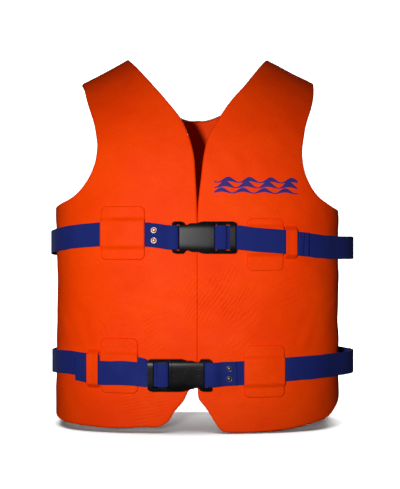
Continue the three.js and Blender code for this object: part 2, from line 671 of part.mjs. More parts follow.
// A belt loop's patch on one side, at least tall enough for its rounded corners above and below the channel.
function sewnLoop(belt, side, loop, middle) {
  const channel = channelAt(belt, middle, LOOP_CHANNEL);
  const margin = PATCH_RAMP + PATCH_CORNER + 1;
  return loopPatch({
    start: side * loop.start, end: side * loop.end,
    low: Math.min(loop.low, channel.low - margin), high: Math.max(loop.high, channel.high + margin),
    corner: PATCH_CORNER, thickness: PATCH, channel,
  });
}

function addLoops(name, belt) {
  const { side, fixedLoop, tailLoop, tailDrop } = belt;
  const fixedAt = around((fixedLoop.start + fixedLoop.end) / 2);
  const tailAt = 4 * QUARTER - around((tailLoop.start + tailLoop.end) / 2);
  add(`${name}_loop_${sideName(side)}`, sewnLoop(belt, side, fixedLoop, fixedAt), dippedFoam());
  add(`${name}_loop_${sideName(-side)}`, sewnLoop(belt, -side, tailLoop, tailAt), dippedFoam());

  const from = tailLoop.end + KEEPER.start;
  const to = tailLoop.end + KEEPER.end;
  const keeperAt = 4 * QUARTER - around((from + to) / 2);
  const keeperChannel = channelAt(belt, keeperAt, OVER_LOOP - 1.6, tailDrop);
  const keeper = {
    start: -side * from, end: -side * to, corner: 1, thickness: KEEPER.thickness, channel: keeperChannel,
    low: keeperChannel.low - PATCH_RAMP - 3, high: keeperChannel.high + PATCH_RAMP + 3,
  };
  add(`${name}_keeper`, loopPatch(keeper), dippedFoam());
}

function addBeltAndRivets(name, belt) {
  const rivetsAt = around(barTurn(belt) + RIVETS_FROM_BAR);
  const reach = RIVETED + WEB + LAYER_GAP + WEB / 2 + SEAM_GAP - LAYER_GAP;
  let web = toSolid(ribbon(beltPath(belt)));
  for (const [end, upper] of [["top", 1], ["bottom", -1]]) {
    const z = beltHeight(belt, rivetsAt) + (upper * RIVET_SPACING) / 2;
    const hole = new THREE.CylinderGeometry(RIVET.hole, RIVET.hole, 20, 16);
    web = cut(web, standOnSkin(hole, belt.side * rivetsAt, z, 5));
    const rivet = standOnSkin(rivetGeometry(reach), belt.side * rivetsAt, z, LAYER_GAP);
    add(`${name}_rivet_${end}`, rivet, rivetMetal());
  }
  add(`${name}_belt`, toGeometry(web), webbing());
  add(`${name}_belt_tail`, ribbon(tailPath(belt)), webbing());
  add(`${name}_adjuster_strap`, ribbon(adjusterPath(belt)), webbing());
}

function addBuckle(name, belt) {
  add(`${name}_buckle_socket`, socket(belt), mouldedPlastic());
  add(`${name}_buckle_plug`, plug(belt), mouldedPlastic());
  add(`${name}_latch_arm_top`, latchArm(belt, belt.side < 0 ? 1 : -1), mouldedPlastic());
  add(`${name}_latch_arm_bottom`, latchArm(belt, belt.side < 0 ? -1 : 1), mouldedPlastic());
}

for (const [name, belt] of Object.entries(BELTS)) {
  addLoops(name, belt);
  addBeltAndRivets(name, belt);
  addBuckle(name, belt);
}

// The origin is the middle of the footprint, at the height of the lowest hem.
const extent = new THREE.Box3().setFromObject(vest);
const middle = extent.getCenter(new THREE.Vector3());
vest.position.set(-middle.x, -middle.y, -extent.min.z);

export default vest;
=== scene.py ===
import math

import bmesh
import bpy
import numpy as np
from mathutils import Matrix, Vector
from mathutils.geometry import delaunay_2d_cdt


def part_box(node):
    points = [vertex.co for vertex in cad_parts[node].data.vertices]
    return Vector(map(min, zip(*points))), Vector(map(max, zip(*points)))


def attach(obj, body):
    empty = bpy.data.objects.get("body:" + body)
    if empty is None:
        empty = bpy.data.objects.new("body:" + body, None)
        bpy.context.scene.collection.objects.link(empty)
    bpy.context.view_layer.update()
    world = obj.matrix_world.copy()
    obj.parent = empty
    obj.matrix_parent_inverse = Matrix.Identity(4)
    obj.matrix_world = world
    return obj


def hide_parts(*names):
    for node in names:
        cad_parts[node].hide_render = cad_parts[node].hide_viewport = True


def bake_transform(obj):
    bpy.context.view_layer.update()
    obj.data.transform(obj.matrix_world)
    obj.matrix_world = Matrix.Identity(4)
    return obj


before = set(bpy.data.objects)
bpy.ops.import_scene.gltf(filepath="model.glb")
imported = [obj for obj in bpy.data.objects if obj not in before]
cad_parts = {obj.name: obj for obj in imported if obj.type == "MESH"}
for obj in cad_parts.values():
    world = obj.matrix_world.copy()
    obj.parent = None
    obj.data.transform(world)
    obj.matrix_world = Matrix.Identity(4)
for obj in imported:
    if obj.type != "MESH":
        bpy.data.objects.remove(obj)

# A dipped-foam life jacket. Lengths here are millimetres in the vest's own frame: x from the
# front centre line, y from the middle of the body (the front is at -120), z from the lowest hem.
# A belt goes by distance round the body from the front centre towards its near side, the socket's.

# ---- The body's form, in the CAD part's sizes. The lower belt, tails and keepers differ a little ----
HALF_WIDTH = 238
HALF_DEPTH = 120
SQUARENESS = 2.7
CHEST_HEIGHT = 350
NECK_X, NECK_Z = 117.5, 615
ARM_X, ARM_Z = 198, 573
SHOULDER_ARC = 170
FOAM = 25
RIM = 3.4  # radius of the foam's edges
WEB_WIDTH = 38
WEB = 1.6
LAYER_GAP = 0.4
PATCH = 3
KEEPER_START, KEEPER_END, KEEPER_THICK = 2, 20.5, 2.2
STANDOFF = 5.5
BAR_START, BAR_LOW, BAR_HIGH, BAR_TURN = -62, 1.8, 6.2, -57.5
PLUG_END = 38
CENTRE_BAR_X, CENTRE_BAR_LOW, CENTRE_BAR_HIGH = 9, 2.5, 6.5
RIVETS_FROM_BAR, RIVET_SPACING, FOLD_FROM_BAR, FLAT_FROM_BAR = 33, 16.2, 45, 26
RIVETED = 0.7 + 0.4 + 0.4 + 0.8  # middle of the riveted inner layer
RIVET_WIDTH = .93  # share of the drawn profile
SLACK_REACH = 72
BAR_ROOM = .3  # between a bar and the webbing round it
CHANNEL_ROOM = 1.5  # beside a belt in its loop
MESH_PITCH = 5.2
RIM_ROWS = 6
# Where the two fronts close: heights that fade in and out, and how far from the edge.
CLOSED_FROM, CLOSED_TO, CLOSED_WIDTH, CLOSED_SHARE = (84, 118), (318, 352), (5, 8), .72

BELTS = {
    "upper": {
        "side": -1, "mouth": 22, "height": 312, "near": 8, "far": 25, "drop": 0,
        "heights": [(44, 312), (89, 317.5), (156, 317), (189, 314.5)],
        "sides": (303, 299, 295),
        "far_heights": [(199, 297.6), (138, 305), (92, 308.5), (66, 312)],
        "fixed": (83, 154, 276, 362), "tail": (79, 137, 258.5, 343),
    },
    "lower": {
        "side": 1, "mouth": -40, "height": 95.5, "near": 25, "far": 6, "drop": 8,
        "heights": [(19, 95.6), (72.5, 97), (140, 101.5), (181, 103)],
        "sides": (104, 106, 105),
        "far_heights": [(194, 109), (154, 105), (96, 103.5), (84, 100.5)],
        "fixed": (74, 139, 57.5, 141), "tail": (94, 154, 63.8, 152),
    },
}

back_low, back_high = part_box("back_panel")
SHIFT = np.array([(back_low.x + back_high.x) * 500, back_high.y * 1000 - HALF_DEPTH, 0])
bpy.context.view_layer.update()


def to_row(points):
    """The row's metres from the vest's millimetres."""
    return (np.asarray(points, float) + SHIFT) / 1000


# ---- The outer skin ----
def section_table():
    """Quarter of |x/a|^n + |y/b|^n = 1 as (length from the front centre, x, y)."""
    angle = np.linspace(0, 1, 4001) ** 2 * np.pi / 2
    x = HALF_WIDTH * np.sin(angle) ** (2 / SQUARENESS)
    y = -HALF_DEPTH * np.clip(np.cos(angle), 0, None) ** (2 / SQUARENESS)
    steps = np.hypot(np.diff(x), np.diff(y))
    return np.concatenate([[0], np.cumsum(steps)]), x, y


LENGTHS, SECTION_X, SECTION_Y = section_table()
QUARTER = LENGTHS[-1]
ROUND = 4 * QUARTER
RIDGE_UP = SHOULDER_ARC * np.pi / 2


def around(x):
    """Distance round the front from the centre line to x."""
    return np.sign(x) * np.interp(np.minimum(np.abs(x), HALF_WIDTH), SECTION_X, LENGTHS)


def ridge(x):
    """Height of the shoulder ridge at x."""
    return NECK_Z - (np.abs(x) - NECK_X) * (NECK_Z - ARM_Z) / (ARM_X - NECK_X)


def up(x, z):
    """Distance up the skin to height z at x."""
    share = np.clip((z - CHEST_HEIGHT) / (ridge(x) - CHEST_HEIGHT), -1, 1)
    return np.where(z <= CHEST_HEIGHT, z - CHEST_HEIGHT, SHOULDER_ARC * np.arcsin(share))


def skin(turn, climb):
    """Point of the skin: a superellipse tube, its depth shrinking as cos(climb / 170) and its height
    growing as sin(climb / 170) above the chest."""
    turn = np.mod(turn, ROUND)
    right = turn <= 2 * QUARTER
    half = np.where(right, turn, ROUND - turn)
    front = half <= QUARTER
    along = np.where(front, half, 2 * QUARTER - half)
    x = np.interp(along, LENGTHS, SECTION_X) * np.where(right, 1, -1)
    y = np.interp(along, LENGTHS, SECTION_Y) * np.where(front, 1, -1)
    angle = np.clip(climb, 0, None) / SHOULDER_ARC
    z = CHEST_HEIGHT + np.minimum(climb, 0) + (ridge(x) - CHEST_HEIGHT) * np.sin(angle)
    return np.stack([x, y * np.cos(angle), z], -1)


def unit(vectors):
    """Vectors of length 1."""
    return vectors / np.maximum(np.linalg.norm(vectors, axis=-1, keepdims=True), 1e-9)


def skin_normal(turn, climb):
    """Outward unit normal by central differences of 1 mm."""
    across = skin(turn + 1, climb) - skin(turn - 1, climb)
    upward = skin(turn, climb + 1) - skin(turn, climb - 1)
    return unit(np.cross(across, upward))


def off_skin(turn, climb, off):
    """The skin's point moved out along its normal."""
    return skin(turn, climb) + skin_normal(turn, climb) * np.asarray(off)[..., None]


# ---- Meshes ----
def in_scene(name, data):
    """A new object of the scene."""
    made = bpy.data.objects.new(name, data)
    bpy.context.scene.collection.objects.link(made)
    return made


def mesh_object(name, points, faces, material, uv=None):
    """A smooth-shaded object from millimetre points; uv is one pair for each point."""
    mesh = bpy.data.meshes.new(name)
    mesh.from_pydata(to_row(points).tolist(), [], faces)
    if uv is not None:
        loops = np.zeros(len(mesh.loops), np.int32)
        mesh.loops.foreach_get("vertex_index", loops)
        layer = mesh.uv_layers.new(name="UVMap")
        layer.data.foreach_set("uv", np.asarray(uv, np.float32)[loops].ravel())
    mesh.materials.append(material)
    mesh.shade_smooth()
    return in_scene(name, mesh)


def grid_faces(rows, columns, wrap=False):
    """Quads of a rows x columns grid of points; wrap joins the last column to the first."""
    last = columns if wrap else columns - 1
    row, column = np.meshgrid(np.arange(rows - 1), np.arange(last), indexing="ij")
    following = (column + 1) % columns
    corners = [row * columns + column, row * columns + following,
               (row + 1) * columns + following, (row + 1) * columns + column]
    return np.stack(corners, -1).reshape(-1, 4).tolist()


def rework(mesh, change):
    """Edits a mesh through bmesh with change(work)."""
    work = bmesh.new()
    work.from_mesh(mesh)
    change(work)
    work.to_mesh(mesh)
    work.free()


def face_outwards(work):
    """Turns every face outwards."""
    bmesh.ops.recalc_face_normals(work, faces=work.faces)


def outward(made):
    """The object with its faces turned outwards."""
    rework(made.data, face_outwards)
    made.data.shade_smooth()
    return made


def declare(made, body, slot, *nodes):
    """Says which body the piece rides and which CAD nodes it replaces. The slot argument is not used."""
    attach(made, body)
    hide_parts(*nodes)


def lengths_along(points):
    """Distance along a polyline to each of its points."""
    return np.concatenate([[0], np.cumsum(np.linalg.norm(np.diff(points, axis=0), axis=1))])


def hermite(knots, slopes, index, span, s):
    """Cubic Hermite from knot index to the next at share s of the span."""
    return ((2 * s ** 3 - 3 * s ** 2 + 1) * knots[index] + (s ** 3 - 2 * s ** 2 + s) * span * slopes[index]
            + (3 * s ** 2 - 2 * s ** 3) * knots[index + 1] + (s ** 3 - s ** 2) * span * slopes[index + 1])


def smoothstep(low, high, value):
    """3 s^2 - 2 s^3 of the share s of value between low and high."""
    share = np.clip((value - low) / (high - low), 0, 1)
    return share * share * (3 - 2 * share)


def smooth_line(knots, step):
    """Catmull-Rom curve by chord length through the knots, at even steps."""
    knots = np.asarray(knots, float)
    chord = lengths_along(knots)
    slopes = np.gradient(knots, chord, axis=0, edge_order=1)
    fine = np.linspace(0, chord[-1], max(8, int(chord[-1] / step * 6)))
    index = np.clip(np.searchsorted(chord, fine, side="right") - 1, 0, len(knots) - 2)
    span = (chord[index + 1] - chord[index])[:, None]
    s = (fine - chord[index])[:, None] / span
    return even(hermite(knots, slopes, index, span, s), step)


def even(line, step):
    """The polyline at even steps."""
    length = lengths_along(line)
    wanted = np.linspace(0, length[-1], max(2, int(round(length[-1] / step)) + 1))
    return np.stack([np.interp(wanted, length, line[:, k]) for k in range(line.shape[1])], -1)


# ---- The foam body: one sheet cut out flat, then wrapped on the skin ----
def shoulder_table():
    """Arc length of the shoulder's ellipse (265 high, 107 deep) by climb, from the trapezoid rule."""
    climb = np.linspace(0, RIDGE_UP, 400)
    speed = np.hypot(265 * np.cos(climb / SHOULDER_ARC), 107 * np.sin(climb / SHOULDER_ARC))
    steps = (speed[1:] + speed[:-1]) / 2 * np.diff(climb)
    return climb, np.concatenate([[0], np.cumsum(steps)]) / SHOULDER_ARC


RIDGE_STEPS, RIDGE_FLAT = shoulder_table()
SHOULDER = RIDGE_FLAT[-1]


def flat_height(climb):
    """Height on the flat sheet of a distance up the skin."""
    return np.where(climb < 0, climb, np.interp(climb, RIDGE_STEPS, RIDGE_FLAT))


def climb_of(flat):
    """Distance up the skin of a height on the flat sheet."""
    return np.where(flat < 0, flat, np.interp(flat, RIDGE_FLAT, RIDGE_STEPS))


def knots_at(points, back=False):
    """Flat (round, up) places of [x, z] points on the front or on the back."""
    x, z = np.asarray(points, float).T
    turn = 2 * QUARTER - around(x) if back else np.where(x < 0, ROUND + around(x), around(x))
    return np.stack([turn, flat_height(up(x, z))], -1)


# [x, z] knots as seen from in front, right and left as the viewer has them.
RIGHT_NECKLINE = [(1.0, 364), (2.4, 378), (5.9, 408), (9.5, 439), (17.7, 474), (28, 493), (37, 508),
                  (54, 533), (77.5, 561), (90, 578), (101.5, 593.5), (110.5, 605.7), (115, 611.6)]
LEFT_NECKLINE = [(-.6, 364), (-1.1, 378), (-2.7, 408), (-4.8, 439), (-10, 464), (-17, 484), (-25, 501),
                 (-49, 533), (-72, 561), (-86, 577.6), (-99.5, 593.6), (-109.5, 605.5), (-114.8, 611.8)]
RIGHT_ARMHOLE = [(215, 367), (197, 379), (180, 405), (172, 430), (170.5, 444), (175.5, 483.5), (193, 540)]
LEFT_ARMHOLE = [(-226, 368), (-202, 379.5), (-179, 405), (-164, 443), (-162.5, 456), (-166, 483), (-184, 539)]
RIGHT_NOTCH = [(.5, 74), (2.4, 55.6), (13.5, 41.5), (27.6, 19.3), (36.5, 7), (43, 3.2), (56, 2.2)]
LEFT_NOTCH = [(-1.7, 74), (-11.7, 70), (-21, 53.5), (-35, 37), (-47, 19), (-57, 12.6)]
RIGHT_HEM = [(98, 2.4), (145.5, 5.7), (188, 13), (211, 18.5), (228, 32.5), (238, 48)]
LEFT_HEM = [(-88, 10.6), (-125, 8), (-154, 8), (-186, 9.5), (-215, 10.6), (-238, 16)]
BACK_HEM_RIGHT = [(228, 14), (205, 0), (172, 0), (140, 0), (126, 20), (100, 45), (0, 50)]
BACK_HEM_LEFT = [(-100, 45), (-126, 20), (-140, 0), (-172, 0), (-205, 0), (-228, 5)]
BACK_NECK = [(117.5, 615), (100, 586), (74, 556), (40, 533), (0, 525), (-40, 533), (-74, 556), (-100, 586),
             (-117.5, 615)]
RIGHT_CLOSING = [(.3, 348), (.12, 315), (.12, 125), (.5, 74)]
LEFT_CLOSING = [(-1.7, 74), (-.12, 125), (-.12, 315), (-.3, 348)]


def ridge_line(x_from, x_to, back):
    """The seam along a shoulder ridge, with close steps at its rounded ends."""
    start, end = (knots_at([(x, float(ridge(x)))], back)[0] for x in (x_from, x_to))
    length = abs(end[0] - start[0])
    near = RIM * (1 - np.cos(np.linspace(0, np.pi / 2, 6)))
    inner = np.linspace(RIM + 3, length - RIM - 3, 18)
    share = np.concatenate([near, inner, length - near[::-1]]) / length
    return start + (end - start) * share[:, None]


def outline(step):
    """The sheet's closed outline, its points and whether each stretch is a free edge."""
    right_under, left_under = [(238, 358)], [(-238, 363)]
    hem = np.concatenate([knots_at(RIGHT_NOTCH + RIGHT_HEM), knots_at(BACK_HEM_RIGHT + BACK_HEM_LEFT, True),
                          knots_at((LEFT_NOTCH + LEFT_HEM)[::-1])])
    hem_line = smooth_line(hem, step)
    hem_line[:, 1] = np.maximum(hem_line[:, 1], -CHEST_HEIGHT)
    left_neck = knots_at([(-.3, 348)] + LEFT_NECKLINE + [(-NECK_X, NECK_Z)])
    left_arm = np.concatenate([knots_at([(-ARM_X, ARM_Z)] + LEFT_ARMHOLE[::-1] + left_under),
                               knots_at(LEFT_ARMHOLE + [(-ARM_X, ARM_Z)], True)])
    right_arm = np.concatenate([knots_at([(ARM_X, ARM_Z)] + RIGHT_ARMHOLE[::-1], True),
                                knots_at(right_under + RIGHT_ARMHOLE + [(ARM_X, ARM_Z)])])
    right_neck = knots_at([(NECK_X, NECK_Z)] + RIGHT_NECKLINE[::-1] + [(.3, 348)])
    stretches = [
        (even(knots_at(RIGHT_CLOSING), step), True),
        (hem_line, True),
        (even(knots_at(LEFT_CLOSING), step), True),
        (smooth_line(left_neck, step), True),
        (ridge_line(-NECK_X, -ARM_X, False), False),
        (smooth_line(left_arm, step), True),
        (ridge_line(-ARM_X, -NECK_X, True), False),
        (smooth_line(knots_at(BACK_NECK, True)[::-1], step), True),
        (ridge_line(NECK_X, ARM_X, True), False),
        (smooth_line(right_arm, step), True),
        (ridge_line(ARM_X, NECK_X, False), False),
        (smooth_line(right_neck, step), True),
    ]
    points = np.concatenate([line[:-1] for line, _ in stretches])
    free = np.concatenate([np.full(len(line) - 1, edge) for line, edge in stretches])
    return points, free


def segment_distance(points, starts, ends):
    """Distance from each point to the nearest segment."""
    nearest = np.full(len(points), 1e9)
    along = ends - starts
    size = np.maximum((along ** 2).sum(1), 1e-12)
    for first in range(0, len(points), 1500):
        part = points[first:first + 1500]
        gap = part[:, None] - starts[None]
        share = np.clip((gap * along).sum(-1) / size, 0, 1)
        away = gap - share[..., None] * along
        nearest[first:first + 1500] = np.sqrt((away ** 2).sum(-1).min(1))
    return nearest


def inside(points, loop):
    """Even-odd test of points against a closed polyline."""
    following = np.roll(loop, -1, axis=0)
    answer = np.zeros(len(points), bool)
    for first in range(0, len(points), 3000):
        part = points[first:first + 3000]
        x, y = part[:, :1], part[:, 1:]
        crosses = (loop[:, 1] > y) != (following[:, 1] > y)
        rise = following[:, 1] - loop[:, 1]
        rise = np.where(np.abs(rise) < 1e-12, 1e-12, rise)
        at = loop[:, 0] + (y - loop[:, 1]) * (following[:, 0] - loop[:, 0]) / rise
        answer[first:first + 3000] = (crosses & (x < at)).sum(1) % 2 == 1
    return answer


def edge_distance(points, loop, free):
    """Distance to the free edges, counting those just over a shoulder ridge."""
    starts, ends = loop[free], np.roll(loop, -1, axis=0)[free]
    high = starts[:, 1] > SHOULDER - 60
    all_starts, all_ends = [starts], [ends]
    for turn in (2 * QUARTER, 6 * QUARTER):
        over = np.array([turn, 2 * SHOULDER])
        all_starts.append(over - starts[high])
        all_ends.append(over - ends[high])
    return segment_distance(points, np.concatenate(all_starts), np.concatenate(all_ends))


def ripple(points, centre, angle, wavelength, amplitude, reach):
    """A packet of soft waves: a cosine along one direction under a Gaussian window (length, width)."""
    x, z = points[:, 0] - centre[0], points[:, 2] - centre[1]
    c, s = math.cos(math.radians(angle)), math.sin(math.radians(angle))
    along, across = x * c + z * s, -x * s + z * c
    window = np.exp(-(along / reach[0]) ** 2 - (across / reach[1]) ** 2)
    bend = 0.06 * along ** 2 / reach[0]
    wave = np.cos(2 * np.pi * (across + bend) / wavelength)
    return np.where(points[:, 1] < 0, amplitude * window * wave, 0)


RIPPLES = [
    # (x, z), degrees, wavelength, amplitude, (length, width)
    ((22, 235), -38, 20, 1.1, (48, 26)), ((30, 200), -30, 24, .9, (60, 24)),
    ((60, 265), 25, 26, .6, (50, 20)), ((-88, 165), 8, 17, .8, (60, 16)),
    ((-70, 205), -14, 26, .6, (70, 18)), ((-98, 44), 12, 15, .7, (48, 13)),
    ((95, 46), -8, 18, .6, (60, 14)), ((120, 225), -20, 30, .6, (70, 30)),
    ((-150, 230), 18, 30, .7, (60, 30)), ((-40, 385), 62, 30, .6, (60, 30)),
    ((150, 330), -35, 28, .6, (50, 24)), ((60, 430), -58, 34, .5, (60, 30)),
    ((-140, 400), -40, 28, .6, (50, 26)), ((175, 150), 70, 26, .6, (60, 26)),
    ((-190, 160), -70, 26, .6, (60, 26)),
]


def foam_surface(points, turn):
    """How far the skin swells: slow undulations, soft ripples and the swelling beside each belt."""
    rng = np.random.default_rng(7)
    swell = np.zeros(len(points))
    for wavelength, amount in ((210, .8), (150, .6), (110, .4), (75, .26), (48, .15), (34, .1)):
        for _ in range(3):
            wave = unit(rng.normal(size=3)) * 2 * np.pi / wavelength
            swell += amount * .6 * np.cos(points @ wave + rng.uniform(0, 6.28))
    for centre, angle, wavelength, amount, reach in RIPPLES:
        swell += .7 * ripple(points, centre, angle, wavelength, amount, reach)
    for belt in BELTS.values():
        gap = np.abs(points[:, 2] - belt_height(belt, np.mod(belt["side"] * turn, ROUND)))
        swell += .5 * np.exp(-((gap - 44) / 13) ** 2)
        pressed = 1 - smoothstep(20, 34, gap)
        swell = swell * (1 - pressed) + pressed * np.minimum(.25 * swell - .25, 0)
    return swell


def edge_rows(loop, free):
    """Rows of points beside the free edges at r (1 - cos a), where the rim is rounded."""
    area = np.sum(loop[:, 0] * np.roll(loop[:, 1], -1) - np.roll(loop[:, 0], -1) * loop[:, 1])
    tangent = unit(np.roll(loop, -1, axis=0) - np.roll(loop, 1, axis=0))
    inward = np.stack([-tangent[:, 1], tangent[:, 0]], -1) * (1 if area > 0 else -1)
    near_free = free & np.roll(free, 1)
    rows = []
    for distance in RIM * (1 - np.cos(np.linspace(0, np.pi / 2, RIM_ROWS)))[1:]:
        row = (loop + inward * distance)[near_free]
        row = row[inside(row, loop)]
        rows.append(row[edge_distance(row, loop, free) > .985 * distance])
    return rows


def lattice(loop):
    """A triangular lattice inside the outline and clear of its edge rows."""
    low, high = loop.min(0), loop.max(0)
    along = np.arange(low[0], high[0], MESH_PITCH)
    turn, height = np.meshgrid(along, np.arange(low[1], high[1], MESH_PITCH * .866))
    turn = turn + (np.arange(len(turn)) % 2)[:, None] * MESH_PITCH / 2
    points = np.stack([turn.ravel(), height.ravel()], -1)
    points = points[inside(points, loop)]
    return points[segment_distance(points, loop, np.roll(loop, -1, axis=0)) > RIM + 2.4]


def rim_depth(flat, loop, free):
    """How far the rounded rim drops: r - sqrt(r^2 - (r - d)^2), less where the fronts close."""
    distance = np.minimum(edge_distance(flat, loop, free), RIM)
    depth = RIM - np.sqrt(np.maximum(RIM ** 2 - (RIM - distance) ** 2, 0))
    from_centre = np.minimum(flat[:, 0], ROUND - flat[:, 0])
    height = CHEST_HEIGHT + flat[:, 1]
    closed = smoothstep(*CLOSED_FROM, height) * (1 - smoothstep(*CLOSED_TO, height))
    closed = closed * (1 - smoothstep(*CLOSED_WIDTH, from_centre))
    return depth * (1 - CLOSED_SHARE * closed)


def foam_body(material):
    """The foam sheet: its flat outline triangulated, wrapped on the skin and given its thickness."""
    loop, free = outline(3.6)
    flat = np.concatenate([loop] + edge_rows(loop, free) + [lattice(loop)])
    count = len(loop)
    edges = [(i, (i + 1) % count) for i in range(count)]
    found = delaunay_2d_cdt([Vector(p) for p in flat], edges, [], 1, 1e-5)
    flat = np.array([tuple(p) for p in found[0]])
    triangles = np.array(found[2])
    depth = rim_depth(flat, loop, free)
    turn, climb = flat[:, 0], climb_of(flat[:, 1])
    base, normal = skin(turn, climb), skin_normal(turn, climb)
    outer = base + normal * (foam_surface(base, turn) - depth)[:, None]
    inner = base - normal * (FOAM - depth - .3 * foam_surface(base, turn))[:, None]
    walls = boundary_walls(triangles, len(flat))
    faces = triangles.tolist() + (triangles[:, ::-1] + len(flat)).tolist() + walls
    body = mesh_object("foam_body", np.concatenate([outer, inner]), faces, material)
    rework(body.data, weld_ridges)
    body.data.shade_smooth()
    return body


def boundary_walls(triangles, count):
    """Quads between the outer and inner rims, one on every edge that only one triangle has."""
    pairs = np.concatenate([triangles[:, [0, 1]], triangles[:, [1, 2]], triangles[:, [2, 0]]])
    key = np.sort(pairs, axis=1)
    key = key[:, 0] * (count + 1) + key[:, 1]
    _, first, uses = np.unique(key, return_index=True, return_counts=True)
    rim = pairs[first[uses == 1]]
    return np.stack([rim[:, 1], rim[:, 0], rim[:, 0] + count, rim[:, 1] + count], -1).tolist()


def weld_ridges(work):
    """Joins the fronts to the back along the shoulder ridges and drops the walls between them."""
    bmesh.ops.remove_doubles(work, verts=work.verts, dist=2e-6)
    seen = {}
    for face in work.faces:
        seen.setdefault(frozenset(v.index for v in face.verts), []).append(face)
    doubled = [face for faces in seen.values() if len(faces) > 1 for face in faces]
    bmesh.ops.delete(work, geom=doubled, context="FACES_ONLY")
    face_outwards(work)


# ---- Belt loops and keepers ----
def crowded(count):
    """Shares from 0 to 1, crowded at both ends."""
    return (1 - np.cos(np.linspace(0, np.pi, count))) / 2


def belt_channel(belt, distance, lift, drop=0):
    """Low and high sides of the channel over a belt, and how high it is lifted."""
    height = float(belt_height(belt, distance))
    beside = WEB_WIDTH / 2 + CHANNEL_ROOM
    return height - drop - beside, height + beside, lift


def patch(name, span, channel, corner, thickness, rim, material):
    """A rounded patch: T sqrt(1 - (1 - d/r)^2) thick at distance d from its outline, raised over a belt."""
    x_from, x_to, low, high = span
    channel_low, channel_high, lift = channel
    upward = low + (high - low) * crowded(75)
    columns = crowded(65)
    sink = np.maximum(corner - np.minimum(upward - low, high - upward), 0)
    inset = corner - np.sqrt(np.maximum(corner ** 2 - sink ** 2, 0))
    x = (x_from + inset)[:, None] + (x_to - x_from - 2 * inset)[:, None] * columns
    z = np.repeat(upward[:, None], len(columns), axis=1)
    beside_x = np.abs(x - (x_from + x_to) / 2) - (x_to - x_from) / 2 + corner
    beside_z = np.abs(z - (low + high) / 2) - (high - low) / 2 + corner
    outside = np.hypot(np.maximum(beside_x, 0), np.maximum(beside_z, 0))
    away = corner - outside - np.minimum(np.maximum(beside_x, beside_z), 0)
    swell = np.sqrt(np.clip(1 - (1 - np.clip(away / rim, 0, 1)) ** 2, 0, 1))
    middle = (channel_low + channel_high) / 2
    half = (channel_high - channel_low) / 2
    gap = np.abs(z - middle)
    over = 1 - smoothstep(half - 2.5, half + 6.5, gap)
    under = 1 - smoothstep(half, half + 3, gap)
    sag = .35 * np.sin(columns * 7 + middle)[None] * over
    uneven = 1 + .06 * np.sin(z / 9) * np.sin(x / 13)
    top = over * (lift + .1) + thickness * swell * uneven + sag * swell
    bottom = -1.2 + under * (lift + 1.2)
    top = np.maximum(top, bottom + .05)
    turn = np.where(x < 0, ROUND + around(x), around(x))
    climb = up(x, z)
    lower = off_skin(turn, climb, bottom)
    upper = off_skin(turn, climb, top)
    rows, count = z.shape
    points = np.concatenate([upper.reshape(-1, 3), lower.reshape(-1, 3)])
    face = np.array(grid_faces(rows, count))
    number = np.arange(rows * count).reshape(rows, count)
    rim_line = np.concatenate([number[0, :-1], number[:-1, -1], number[-1, :0:-1], number[:0:-1, 0]])
    following = np.roll(rim_line, -1)
    wall = np.stack([following, rim_line, rim_line + rows * count, following + rows * count], -1)
    faces = face.tolist() + (face[:, ::-1] + rows * count).tolist() + wall.tolist()
    made = outward(mesh_object(name + "_foam", points, faces, material))
    declare(made, "root", "dipped_foam", name)


LAYER_0 = LAYER_GAP + WEB / 2
LAYER_1 = LAYER_0 + WEB + LAYER_GAP
LOOP_CHANNEL = LAYER_0 + 2 * (WEB + LAYER_GAP) - WEB / 2
OVER_LOOP = LOOP_CHANNEL + PATCH + LAYER_GAP + WEB / 2


def side_span(side, start, end, low, high):
    """x range and z range of a stretch from start to end out on one side."""
    return min(side * start, side * end), max(side * start, side * end), low, high


def belt_loops(name, belt, material):
    """A belt's two raised loops and the keeper for its tail."""
    side = belt["side"]
    for direction, key in ((side, "fixed"), (-side, "tail")):
        start, end, low, high = belt[key]
        middle = float(around((start + end) / 2))
        distance = middle if key == "fixed" else ROUND - middle
        channel = belt_channel(belt, distance, LOOP_CHANNEL)
        word = "left" if direction < 0 else "right"
        span = side_span(direction, start, end, low, high)
        patch(f"{name}_loop_{word}", span, channel, 9, PATCH, 2.6, material)
    near, far = belt["tail"][1] + KEEPER_START, belt["tail"][1] + KEEPER_END
    distance = ROUND - float(around((near + far) / 2))
    channel = belt_channel(belt, distance, OVER_LOOP - 1.6, belt["drop"])
    span = side_span(-side, near, far, channel[0] - 6, channel[1] + 6)
    patch(f"{name}_keeper", span, channel, 2.5, KEEPER_THICK, 1.6, material)


# ---- Webbing ----
def belt_height(belt, distance):
    """Height of a belt's centre line by distance round from the front centre to its near side."""
    knots = [(float(around(out)), z) for out, z in belt["heights"]]
    knots += [((k + 1) * QUARTER, z) for k, z in enumerate(belt["sides"])]
    knots += [(ROUND - float(around(out)), z) for out, z in belt["far_heights"]]
    places, heights = np.array(knots).T
    slopes = np.gradient(heights, places)
    index = np.clip(np.searchsorted(places, distance, side="right") - 1, 0, len(places) - 2)
    span = places[index + 1] - places[index]
    s = np.clip((distance - places[index]) / span, 0, 1)
    return hermite(heights, slopes, index, span, s)


def on_belt(belt, distance, off, drop=0):
    """Points off the skin on a belt's centre line, or below it by drop."""
    distance = np.asarray(distance, float)
    off = np.broadcast_to(off, distance.shape)
    point = off_skin(belt["side"] * distance, np.full_like(distance, -1), off)
    point[..., 2] = belt_height(belt, distance) - drop
    return point


def on_buckle(belt, x, height):
    """Points at x and height in the buckle's own frame, x from the socket's mouth to the plug."""
    x, height = np.broadcast_arrays(np.asarray(x, float), height)
    y = -(HALF_DEPTH + STANDOFF + height)
    return np.stack([belt["mouth"] - belt["side"] * x, y, np.full_like(y, belt["height"])], -1)


